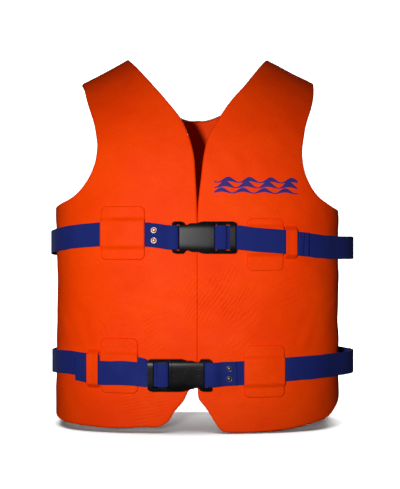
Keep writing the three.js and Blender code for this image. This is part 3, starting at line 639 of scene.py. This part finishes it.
def turn_points(belt, x, low, high, bulge, length=1.0):
    """Half a turn round a bar, from one height to another, reaching length times its radius."""
    angle = np.linspace(0, np.pi, 9)
    radius = (high - low) / 2
    out = x + bulge * length * abs(radius) * np.sin(angle)
    return on_buckle(belt, out, low + radius - radius * np.cos(angle))


def bar_sides(low, high):
    """Heights of the webbing's middle under and over a bar."""
    return low - BAR_ROOM - WEB / 2, high + BAR_ROOM + WEB / 2


def bar_out(belt):
    """Distance out from the centre line to the turn round the socket's bar."""
    return belt["side"] * (belt["mouth"] - belt["side"] * BAR_TURN)


def plug_out(belt, x):
    """Distance out from the centre line to x in the buckle's own frame."""
    return x - belt["side"] * belt["mouth"]


def far_off(belt, out, off, drop=0):
    """Points off the skin on the plug's side, by distance out from the centre line."""
    return on_belt(belt, ROUND - around(np.asarray(out, float)), off, drop)


def main_belt_path(belt):
    """Riveted fold over the socket's bar, then once round the body to just under the plug."""
    bar = bar_out(belt)
    under_bar, over_bar = bar_sides(BAR_LOW, BAR_HIGH)
    fold = bar + np.array([FOLD_FROM_BAR, RIVETS_FROM_BAR, FLAT_FROM_BAR])
    start = float(around(bar + FOLD_FROM_BAR + 8))
    end = ROUND - float(around(plug_out(belt, PLUG_END + 8)))
    distance = np.linspace(start, end, 260)
    slack = np.zeros_like(distance)
    for middle, amount in ((QUARTER, belt["near"]), (3 * QUARTER, belt["far"])):
        share = np.clip(np.abs(distance - middle) / SLACK_REACH, 0, 1)
        slack += amount * np.cos(np.pi / 2 * share) ** 2
    flutter = np.clip(.25 * np.sin(distance / 23) + .2 * np.sin(distance / 11 + 1), 0, None) * (slack > 0)
    rise = np.array([0, 0, belt["drop"] * .4])
    parts = [
        on_belt(belt, around(fold), RIVETED + WEB + LAYER_GAP),
        on_buckle(belt, [BAR_START - 1.5], over_bar),
        turn_points(belt, BAR_TURN, over_bar, under_bar, 1, 1.7),
        on_buckle(belt, [BAR_START - 1.5], under_bar),
        on_belt(belt, around(fold[::-1]), RIVETED),
        on_belt(belt, distance, LAYER_0 + slack + flutter),
        on_buckle(belt, [PLUG_END + 2, PLUG_END - 3], [-2.6, -2.4]) + rise,
    ]
    return np.concatenate(parts)


def tail_path(belt):
    """Up through the plug, round its centre bar, over the loop, under the keeper, and the folded stop."""
    low, high = bar_sides(CENTRE_BAR_LOW, CENTRE_BAR_HIGH)
    end = belt["tail"][1]
    stop = end + KEEPER_END + 1.5
    over = plug_out(belt, 66)
    # Distance along the buckle and height, diving under the ladder's outer bar.
    top = [[20, high], [22.4, high - .5], [23.6, 5.6], [24.6, 3.5], [26.5, 2.95], [29.5, 2.9], [34, 2.5],
           [40, 2.2]]
    # Distance out and height above the loop.
    on_loop = [[over, .9], [over + 14, .3], [end - 14, 0], [end - 5, 0], [end + .5, 0]]
    # Distance out and height above the layer on the main belt: the keeper, then three folds.
    middle = (OVER_LOOP - LAYER_1) / 2 - .6
    behind = [[end + 4.5, middle], [end + 8, .3], [end + 12, 0], [end + 20, 0]]
    folds = [[2, 0], [12, 0], [17, .05], [18.4, .95], [17, 1.95], [12, 2], [4, 1.85], [1.4, 1.85], [.2, 2.7],
             [1.4, 3.6], [3.5, 3.75], [6, 3.75], [8.5, 3.7]]
    laid = np.concatenate([np.array(on_loop) + [0, OVER_LOOP], np.array(behind) + [0, LAYER_1],
                           np.array(folds) + [stop, LAYER_1]])
    parts = [
        on_buckle(belt, [PLUG_END, 32, 26, 22], [.75, .75, .8, low]),
        turn_points(belt, CENTRE_BAR_X, low, high, -1),
        on_buckle(belt, *np.array(top).T),
        far_off(belt, laid[:, 0], laid[:, 1], belt["drop"]),
    ]
    return np.concatenate(parts)


def web_section():
    """A stadium section of the webbing as (across, thick), edge bends joined by flat runs."""
    flat, edge = WEB_WIDTH / 2 - WEB / 2, WEB / 2
    bend = np.linspace(-np.pi / 2, np.pi / 2, 7)
    run = np.linspace(1, -1, 13)[1:-1]
    bulge = edge * np.cos(bend)
    across = np.concatenate([flat + bulge, run * flat, -flat - bulge, -run * flat])
    level = np.full(len(run), edge)
    return across, np.concatenate([edge * np.sin(bend), level, edge * np.sin(bend[::-1]), -level])


def band(name, path, step, material, seed):
    """Webbing swept along a path: a stadium section, its edges straying as three cosines each."""
    line = smooth_line(path, step)
    length = lengths_along(line)
    tangent = unit(np.gradient(line, axis=0))
    width = unit(np.array([0, 0, 1.0]) - tangent * tangent[:, 2:])
    normal = np.cross(width, tangent)
    rng = np.random.default_rng(seed)
    waves, starts = rng.uniform(25, 70, (2, 3)), rng.uniform(0, 6.28, (2, 3))
    stray = sum(.12 * np.cos(length / waves[:, [k]] * 6.28 + starts[:, [k]]) for k in range(3))
    across, thick = web_section()
    shift = np.where(across > 0, stray[0][:, None], stray[1][:, None]) * np.abs(across) / (WEB_WIDTH / 2)
    points = line[:, None] + width[:, None] * (across + shift)[..., None] + normal[:, None] * thick[:, None]
    rows, count = points.shape[:2]
    faces = grid_faces(rows, count, wrap=True)
    faces += [list(range(count)), list(range((rows - 1) * count, rows * count))[::-1]]
    along = np.broadcast_to(length[:, None], (rows, count))
    uv = np.stack([along, np.broadcast_to(across, (rows, count))], -1) / 1000
    return outward(mesh_object(name, points.reshape(-1, 3), faces, material, uv.reshape(-1, 2)))


def belt_webbing(name, belt, material, seed):
    """A belt on the root, and its tail, which runs from the plug to its keeper and is attached to no body."""
    main = band(f"{name}_belt_webbing", main_belt_path(belt), 2.2, material, seed)
    declare(main, "root", "webbing", f"{name}_belt")
    tail = band(f"{name}_tail_webbing", tail_path(belt), 1.1, material, seed + 1)
    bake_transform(tail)
    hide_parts(f"{name}_belt_tail", f"{name}_adjuster_strap")


# ---- Rivets ----
# Radius and height of a rivet's profile: below the webbing, then above its top layer.
RIVET_SHANK = [[0, .4], [3.9, .4], [4, .7], [3.9, 1.05], [2, 1.1]]
RIVET_HEAD = [[2, -.1], [4.9, 0], [5.25, .25], [5.3, .55], [5.1, .85], [4.6, 1], [4.1, .9], [3.75, .72],
              [3.5, .8], [3.1, 1.15], [2.4, 1.5], [1.5, 1.72], [.7, 1.8], [0, 1.82]]


def close_seams(work):
    """Merges the doubled points on the axis and turns the faces outwards."""
    bmesh.ops.remove_doubles(work, verts=work.verts, dist=1e-7)
    face_outwards(work)


def rivet(name, belt, end, material):
    """A lathed rivet: profile radius by height, a domed eyelet head inside a rolled ring."""
    upper = 1 if end == "top" else -1
    distance = float(around(bar_out(belt) + RIVETS_FROM_BAR))
    reach = RIVETED + WEB + LAYER_GAP + WEB / 2 + .3
    profile = np.concatenate([RIVET_SHANK, np.array(RIVET_HEAD) + [0, reach]])
    profile[:, 0] *= RIVET_WIDTH
    angle = np.linspace(0, 2 * np.pi, 49)[:-1]
    turn = np.array([belt["side"] * distance])
    outward_way = skin_normal(turn, np.array([-1.0]))[0]
    upward = np.array([0, 0, 1.0])
    sideways = unit(np.cross(upward, outward_way))
    foot = skin(turn, np.array([-1.0]))[0]
    foot[2] = float(belt_height(belt, distance)) + upper * RIVET_SPACING / 2
    ring = np.cos(angle)[:, None] * sideways + np.sin(angle)[:, None] * upward
    points = foot + profile[:, None, :1] * ring + profile[:, None, 1:] * outward_way
    faces = grid_faces(len(profile), len(angle), wrap=True)
    made = outward(mesh_object(name + "_dome", points.reshape(-1, 3), faces, material))
    rework(made.data, close_seams)
    declare(made, "root", "rivet_metal", name)


# ---- Buckles ----
def simplify(work):
    """Merges the CAD mesh's doubled points and its flat triangles."""
    bmesh.ops.remove_doubles(work, verts=work.verts, dist=1e-6)
    bmesh.ops.dissolve_limit(work, angle_limit=math.radians(1), verts=work.verts, edges=work.edges)


def moulded(node, body, width, material):
    """A copy of a CAD piece with its edges rounded."""
    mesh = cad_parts[node].data.copy()
    rework(mesh, simplify)
    mesh.materials.clear()
    mesh.materials.append(material)
    mesh.shade_smooth()
    made = in_scene(node + "_moulded", mesh)
    bevel = made.modifiers.new("rounded_edges", "BEVEL")
    bevel.width = width / 1000
    bevel.segments = 3
    bevel.limit_method = "ANGLE"
    bevel.angle_limit = math.radians(32)
    bevel.miter_outer = "MITER_ARC"
    weighted = made.modifiers.new("even_shading", "WEIGHTED_NORMAL")
    weighted.keep_sharp = True
    declare(made, body, "buckle_plastic", node)


def buckle(name, material):
    """Socket, plug and latch arms, each on its own body, with edge widths in millimetres."""
    moulded(f"{name}_buckle_socket", "root", .9, material)
    moulded(f"{name}_buckle_plug", f"{name}_plug", .8, material)
    for end in ("top", "bottom"):
        moulded(f"{name}_latch_arm_{end}", f"{name}_arm_{end}", .5, material)


# ---- Shader building blocks ----
def put(tree, kind, settings=None, **inputs):
    """Adds a node; each input is a value, or a socket to link. _0, _1 name inputs by number."""
    made = tree.nodes.new(kind)
    for key, value in (settings or {}).items():
        setattr(made, key, value)
    for key, value in inputs.items():
        socket = made.inputs[int(key[1:])] if key[1:].isdigit() else made.inputs[key.replace("_", " ")]
        if isinstance(value, bpy.types.NodeSocket):
            tree.links.new(value, socket)
        else:
            socket.default_value = value
    return made


def wire(tree, node, **values):
    """Links sockets to a node's inputs by name."""
    for name, value in values.items():
        tree.links.new(value, node.inputs[name.replace("_", " ")])


def maths(tree, operation, *values):
    """A math node's output."""
    inputs = {f"_{k}": v for k, v in enumerate(values)}
    return put(tree, "ShaderNodeMath", {"operation": operation}, **inputs).outputs[0]


def times(tree, first, second):
    """A product."""
    return maths(tree, "MULTIPLY", first, second)


def plus(tree, first, second):
    """A sum."""
    return maths(tree, "ADD", first, second)


def away_from(tree, first, second):
    """The size of a difference."""
    return maths(tree, "ABSOLUTE", maths(tree, "SUBTRACT", first, second))


def remap(tree, value, low, high):
    """Smoothstep from 0 at low to 1 at high."""
    settings = {"interpolation_type": "SMOOTHSTEP"}
    return put(tree, "ShaderNodeMapRange", settings, _0=value, _1=low, _2=high, _3=0.0, _4=1.0).outputs[0]


def blend_colours(tree, factor, first, second):
    """The first colour mixed with the second by factor."""
    made = put(tree, "ShaderNodeMix", {"data_type": "RGBA"}, _0=factor, _6=first, _7=second)
    return made.outputs[2]


def noise(tree, vector, scale, detail=3.0, roughness=.5):
    """Noise round one half; scale is in waves to the metre."""
    made = put(tree, "ShaderNodeTexNoise", _0=vector, Scale=scale, Detail=detail, Roughness=roughness)
    return made.outputs[0]


def bump(tree, height, strength, distance, under=None):
    """A normal bent by a height, on top of the normal under it."""
    made = put(tree, "ShaderNodeBump", Strength=strength, Distance=distance, Height=height)
    if under is not None:
        wire(tree, made, Normal=under)
    return made.outputs[0]


def new_group(name, source, *results):
    """A group from one vector to named values: its tree, the vector and the node that takes the values."""
    tree = bpy.data.node_groups.new(name, "ShaderNodeTree")
    tree.interface.new_socket(name=source, in_out="INPUT", socket_type="NodeSocketVector")
    for label in results:
        tree.interface.new_socket(name=label, in_out="OUTPUT", socket_type="NodeSocketFloat")
    return tree, tree.nodes.new("NodeGroupInput").outputs[source], tree.nodes.new("NodeGroupOutput")


def use(tree, group, source):
    """The outputs of a group fed with one vector."""
    return put(tree, "ShaderNodeGroup", {"node_tree": group}, _0=source).outputs


def wear_group():
    """Soft smudges, fine scratches and grain, as values round one half, from object coordinates."""
    tree, place, end = new_group("surface_wear", "Vector", "Smudge", "Scratch", "Grain")
    stretched = put(tree, "ShaderNodeMapping", _0=place, Scale=(90, 140, 900), Rotation=(.3, .5, .2))
    scratch = remap(tree, noise(tree, stretched.outputs[0], 1.0, 2.0), .66, .74)
    smudge = noise(tree, place, 14.0, 5.0, .62)
    wire(tree, end, Smudge=smudge, Scratch=scratch, Grain=noise(tree, place, 1700.0, 2.0))
    return tree


def weave_group():
    """Webbing weave from its UV in metres: chevron ribs along the strap, with a selvedge at each edge."""
    tree, flat, end = new_group("webbing_weave", "UV", "Height", "Edge", "Ribs")
    along, across, _ = put(tree, "ShaderNodeSeparateXYZ", _0=flat).outputs
    columns = maths(tree, "PINGPONG", plus(tree, across, 1.0), .0031)
    slant = plus(tree, along, times(tree, columns, .9))
    ribs = maths(tree, "SINE", times(tree, slant, 2 * math.pi / .0016))
    threads = maths(tree, "SINE", times(tree, across, 2 * math.pi / .00155))
    height = plus(tree, times(tree, ribs, .32), times(tree, threads, .18))
    edge = remap(tree, maths(tree, "ABSOLUTE", across), .0168, .0176)
    height = plus(tree, plus(tree, height, .5), times(tree, edge, .25))
    wire(tree, end, Height=height, Edge=edge, Ribs=ribs)
    return tree


WAVES = [
    # height, swing, thickness and phase of each row
    (.4025, .0026, .0027, .3), (.3945, .0032, .0036, 1.2), (.3855, .0026, .0025, 2.3),
]


def waves_group():
    """The chest print as a mask: three rows of waves, each thickest at its crests."""
    tree, place, end = new_group("wave_print", "Vector", "Mask")
    x, y, z = put(tree, "ShaderNodeSeparateXYZ", _0=place).outputs
    left, right = (25 + SHIFT[0]) / 1000, (171 + SHIFT[0]) / 1000
    share = remap(tree, x, left, right)
    window = times(tree, remap(tree, x, left, left + .004), remap(tree, x, right, right - .02))
    front = maths(tree, "LESS_THAN", y, -.03)
    mask = None
    for height, swing, thick, phase in WAVES:
        wave = maths(tree, "SINE", plus(tree, times(tree, x, 2 * math.pi / .034), phase))
        line = plus(tree, plus(tree, times(tree, wave, swing), height), times(tree, share, -.001))
        reach = plus(tree, times(tree, plus(tree, .45, times(tree, wave, .5)), thick), .0011)
        layer = remap(tree, maths(tree, "SUBTRACT", reach, away_from(tree, z, line)), -.0001, .0002)
        mask = layer if mask is None else maths(tree, "MAXIMUM", mask, layer)
    wire(tree, end, Mask=times(tree, times(tree, mask, front), remap(tree, window, .45, .55)))
    return tree


CREASES = [
    # centre x, z, wave direction in degrees, wavelength, radius, strength
    (26, 214, -32, 6.2, 80, 1.0), (-88, 165, -58, 6.6, 66, .9), (-88, 44, 100, 5.6, 62, .8),
    (70, 175, -50, 9, 70, .5), (-150, 150, 30, 9, 60, .4), (120, 60, 80, 7, 66, .5),
    (-60, 250, 60, 9, 60, .4), (60, 480, -40, 10, 80, .35), (-90, 440, 35, 11, 80, .35),
    (150, 230, -70, 9, 60, .4),
]


def creases_group():
    """Fine vinyl creases: sines bent by noise, each under a soft round window."""
    tree, place, end = new_group("vinyl_creases", "Vector", "Height")
    wander = times(tree, noise(tree, place, 22.0, 2.0), 11.0)
    breaks = remap(tree, noise(tree, place, 60.0, 2.0), .36, .6)
    total = 0.0
    for x, z, degrees, wavelength, radius, strength in CREASES:
        centre = tuple(to_row([x, -HALF_DEPTH, z]))
        turn = 2 * math.pi * 1000 / wavelength
        way = (turn * math.cos(math.radians(degrees)), 0, turn * math.sin(math.radians(degrees)))
        dot = put(tree, "ShaderNodeVectorMath", {"operation": "DOT_PRODUCT"}, _0=place, _1=way)
        gap = put(tree, "ShaderNodeVectorMath", {"operation": "DISTANCE"}, _0=place, _1=centre)
        wave = maths(tree, "SINE", plus(tree, dot.outputs["Value"], wander))
        window = remap(tree, gap.outputs["Value"], radius / 1000, radius / 5000)
        total = plus(tree, total, times(tree, times(tree, wave, window), strength))
    wire(tree, end, Height=times(tree, total, breaks))
    return tree


def crown(tree, height):
    """A buckle's crowned face: minus (d / 25 mm)^6 at height d from its middle, for either buckle."""
    high, low = BELTS["upper"]["height"], BELTS["lower"]["height"]
    across = away_from(tree, away_from(tree, height, (high + low) / 2000), (high - low) / 2000)
    return times(tree, maths(tree, "POWER", maths(tree, "DIVIDE", across, .025), 6.0), -1.0)


def new_material(name):
    """A material with its tree, its shader and its texture coordinates."""
    material = bpy.data.materials.new(name)
    material.use_nodes = True
    tree = material.node_tree
    return material, tree, tree.nodes["Principled BSDF"], tree.nodes.new("ShaderNodeTexCoord").outputs


def dipped_foam_material(wear, waves, creases):
    """Orange vinyl over foam: mottled, faintly soiled and creased, with the print on the chest."""
    material, tree, shader, place = new_material("dipped_foam")
    where = place["Object"]
    worn = use(tree, wear, where)
    mottle = remap(tree, noise(tree, where, 9.0, 4.0, .6), .3, .7)
    colour = blend_colours(tree, mottle, (.93, .046, .0, 1), (1.0, .062, .0, 1))
    fine = remap(tree, noise(tree, where, 230.0, 3.0, .55), .35, .7)
    colour = blend_colours(tree, times(tree, fine, .18), colour, (.80, .036, .0, 1))
    grime = remap(tree, worn["Smudge"], .56, .78)
    colour = blend_colours(tree, times(tree, grime, .16), colour, (.45, .03, .003, 1))
    print_mask = use(tree, waves, where)["Mask"]
    ink = blend_colours(tree, mottle, (.032, .024, .16, 1), (.055, .035, .2, 1))
    colour = blend_colours(tree, print_mask, colour, ink)
    rough = plus(tree, plus(tree, times(tree, worn["Smudge"], .2), .48), times(tree, print_mask, .08))
    squat = put(tree, "ShaderNodeMapping", _0=where, Scale=(1, 1, 1.5)).outputs[0]
    normal = bump(tree, noise(tree, squat, 26.0, 2.0, .45), .28, .006)
    normal = bump(tree, use(tree, creases, where)["Height"], .5, .0007, normal)
    normal = bump(tree, noise(tree, where, 330.0, 3.0, .55), .22, .0006, normal)
    normal = bump(tree, worn["Grain"], .12, .0002, normal)
    wire(tree, shader, Base_Color=colour, Roughness=rough, Normal=normal)
    shader.inputs["Specular IOR Level"].default_value = .05
    shader.inputs["Subsurface Weight"].default_value = .06
    shader.inputs["Subsurface Radius"].default_value = (.004, .0012, .0004)
    shader.inputs["Subsurface Scale"].default_value = 1.0
    return material


def webbing_material(wear, weave):
    """Blue woven webbing, darker between its ribs and at its edges, slightly faded."""
    material, tree, shader, place = new_material("webbing")
    woven = use(tree, weave, place["UV"])
    worn = use(tree, wear, place["Object"])
    shade = remap(tree, woven["Ribs"], -.8, .9)
    colour = blend_colours(tree, shade, (.005, .0095, .082, 1), (.015, .030, .25, 1))
    colour = blend_colours(tree, times(tree, woven["Edge"], .35), colour, (.012, .018, .11, 1))
    fade = remap(tree, worn["Smudge"], .5, .75)
    colour = blend_colours(tree, times(tree, fade, .22), colour, (.03, .055, .27, 1))
    fuzz = noise(tree, place["Object"], 2600.0, 2.0)
    normal = bump(tree, woven["Height"], .75, .00045)
    normal = bump(tree, fuzz, .25, .0002, normal)
    rough = plus(tree, times(tree, fuzz, .25), .6)
    wire(tree, shader, Base_Color=colour, Roughness=rough, Normal=normal)
    shader.inputs["Sheen Weight"].default_value = .04
    shader.inputs["Sheen Roughness"].default_value = .4
    shader.inputs["Specular IOR Level"].default_value = .12
    return material


def plastic_material(wear):
    """Black moulded plastic with faint scratches; its faces shade as if crowned."""
    material, tree, shader, place = new_material("buckle_plastic")
    worn = use(tree, wear, place["Object"])
    smudge = remap(tree, worn["Smudge"], .35, .75)
    colour = blend_colours(tree, smudge, (.004, .0035, .004, 1), (.0104, .0096, .0104, 1))
    colour = blend_colours(tree, times(tree, worn["Scratch"], .25), colour, (.12, .11, .12, 1))
    rough = plus(tree, times(tree, worn["Smudge"], .12), .2)
    rough = plus(tree, rough, times(tree, worn["Scratch"], .12))
    height = put(tree, "ShaderNodeSeparateXYZ", _0=place["Object"]).outputs["Z"]
    normal = bump(tree, worn["Grain"], .2, .0001)
    normal = bump(tree, crown(tree, height), 1.0, .0035, normal)
    wire(tree, shader, Base_Color=colour, Roughness=rough, Normal=normal)
    shader.inputs["Specular IOR Level"].default_value = .1
    return material


def rivet_material(name, wear, clean, dull):
    """Metal between a clean and a dull colour, rougher where it is dull."""
    material, tree, shader, place = new_material(name)
    worn = use(tree, wear, place["Object"])
    tarnish = remap(tree, noise(tree, place["Object"], 420.0, 4.0, .6), .35, .7)
    colour = blend_colours(tree, tarnish, clean, dull)
    rough = plus(tree, times(tree, tarnish, .2), .36)
    wire(tree, shader, Base_Color=colour, Roughness=rough, Normal=bump(tree, worn["Grain"], .15, .0001))
    shader.inputs["Metallic"].default_value = 1.0
    return material


# ---- Building ----
wear = wear_group()
foam = dipped_foam_material(wear, waves_group(), creases_group())
strap = webbing_material(wear, weave_group())
black = plastic_material(wear)
# The lower rivets use a darker copy of the same metal: painted shade for the dimmer light they reflect, not a
# different finish.
rivet_metals = {
    "upper": rivet_material("rivet_metal", wear, (.46, .29, .24, 1), (.24, .14, .11, 1)),
    "lower": rivet_material("rivet_metal_painted_shade", wear, (.10, .09, .10, 1), (.035, .03, .04, 1)),
}


def material_of(name):
    """The material of a CAD node, by its name."""
    if "belt" in name or "strap" in name:
        return strap
    if "buckle" in name or "latch" in name:
        return black
    return rivet_metals["upper"] if "rivet" in name else foam


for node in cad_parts.values():
    node.data.materials.clear()
    node.data.materials.append(material_of(node.name))

body = foam_body(foam)
declare(body, "root", "dipped_foam", "back_panel", "front_panel_left", "front_panel_right")
for seed, (name, belt) in enumerate(BELTS.items()):
    belt_loops(name, belt, foam)
    belt_webbing(name, belt, strap, 11 + 5 * seed)
    buckle(name, black)
    for end in ("top", "bottom"):
        rivet(f"{name}_rivet_{end}", belt, end, rivet_metals[name])


# ---- Studio ----
def studio_material():
    """Pale matt paper."""
    material, tree, shader, place = new_material("studio_paper")
    tone = remap(tree, noise(tree, place["Object"], 3.0, 2.0), .3, .7)
    wire(tree, shader, Base_Color=blend_colours(tree, tone, (.88, .88, .88, 1), (.9, .9, .9, 1)))
    shader.inputs["Roughness"].default_value = .9
    return material


def paper_sweep(material):
    """A floor that curves up into a wall: a profile along y swept across x."""
    angle = np.linspace(0, np.pi / 2, 24)
    curve = np.stack([3000 + 700 * np.sin(angle), 700 - 700 * np.cos(angle)], -1)
    line = np.concatenate([[[-4000, 0], [2900, 0]], curve, [[3700, 5000]]])
    x = np.tile([-5000.0, 5000], len(line))
    points = np.column_stack([x, np.repeat(line, 2, axis=0)]) - SHIFT
    made = mesh_object("studio_sweep", points, grid_faces(len(line), 2), material)
    made.visible_diffuse = False
    made.visible_glossy = False
    return made


def light_at(name, kind, place, aim, power):
    """A light aimed at a point."""
    made = in_scene(name, bpy.data.lights.new(name, kind))
    made.data.energy = power
    made.location = place
    made.rotation_euler = (Vector(aim) - Vector(place)).to_track_quat("-Z", "Y").to_euler()
    return made


def softbox(name, place, aim, size, power):
    """A rectangular area light."""
    made = light_at(name, "AREA", place, aim, power)
    made.data.shape = "RECTANGLE"
    made.data.size, made.data.size_y = size
    return made


def lamp(name, place, aim, spread, radius, power):
    """A focused lamp beside the camera, brightest in the middle of its beam."""
    made = light_at(name, "SPOT", place, aim, power)
    made.data.spot_size = math.radians(spread)
    made.data.spot_blend = 1.0
    made.data.shadow_soft_size = radius


def only_on(light, receiver):
    """This light falls on one object only; the vest still casts its shadow in it."""
    group = bpy.data.collections.new(light.name + "_receivers")
    group.objects.link(receiver)
    light.light_linking.receiver_collection = group


paper = paper_sweep(studio_material())
lamp("key", (-.28, -1.75, .39), (-.05, -.12, .275), 33.5, .06, 108)
only_on(softbox("wall", (0, 1.8, 3.4), (0, 3.7, .6), (5.0, 1.2), 330), paper)
only_on(softbox("floor", (0, -.8, 2.6), (0, .2, 0), (2.8, 2.4), 110), paper)
rear = softbox("rear", (.3, 2.4, 1.0), (0, .1, .3), (1.5, 1.5), 26)
rear.visible_camera = False
world = bpy.data.worlds.new("room")
bpy.context.scene.world = world
world.use_nodes = True
world.node_tree.nodes["Background"].inputs[0].default_value = (.9, .95, 1, 1)
world.node_tree.nodes["Background"].inputs[1].default_value = .035

lens = bpy.data.cameras.new("front_view")
lens.sensor_width = 36
lens.lens = 1010 * 36 / 489
lens.clip_start = .05
lens.clip_end = 50
camera = in_scene("front_view", lens)
camera.location = to_row([4.3, -1720, 300.8])
camera.rotation_euler = (math.pi / 2, 0, 0)
bpy.context.scene.camera = camera
bpy.context.scene.view_settings.view_transform = "Standard"
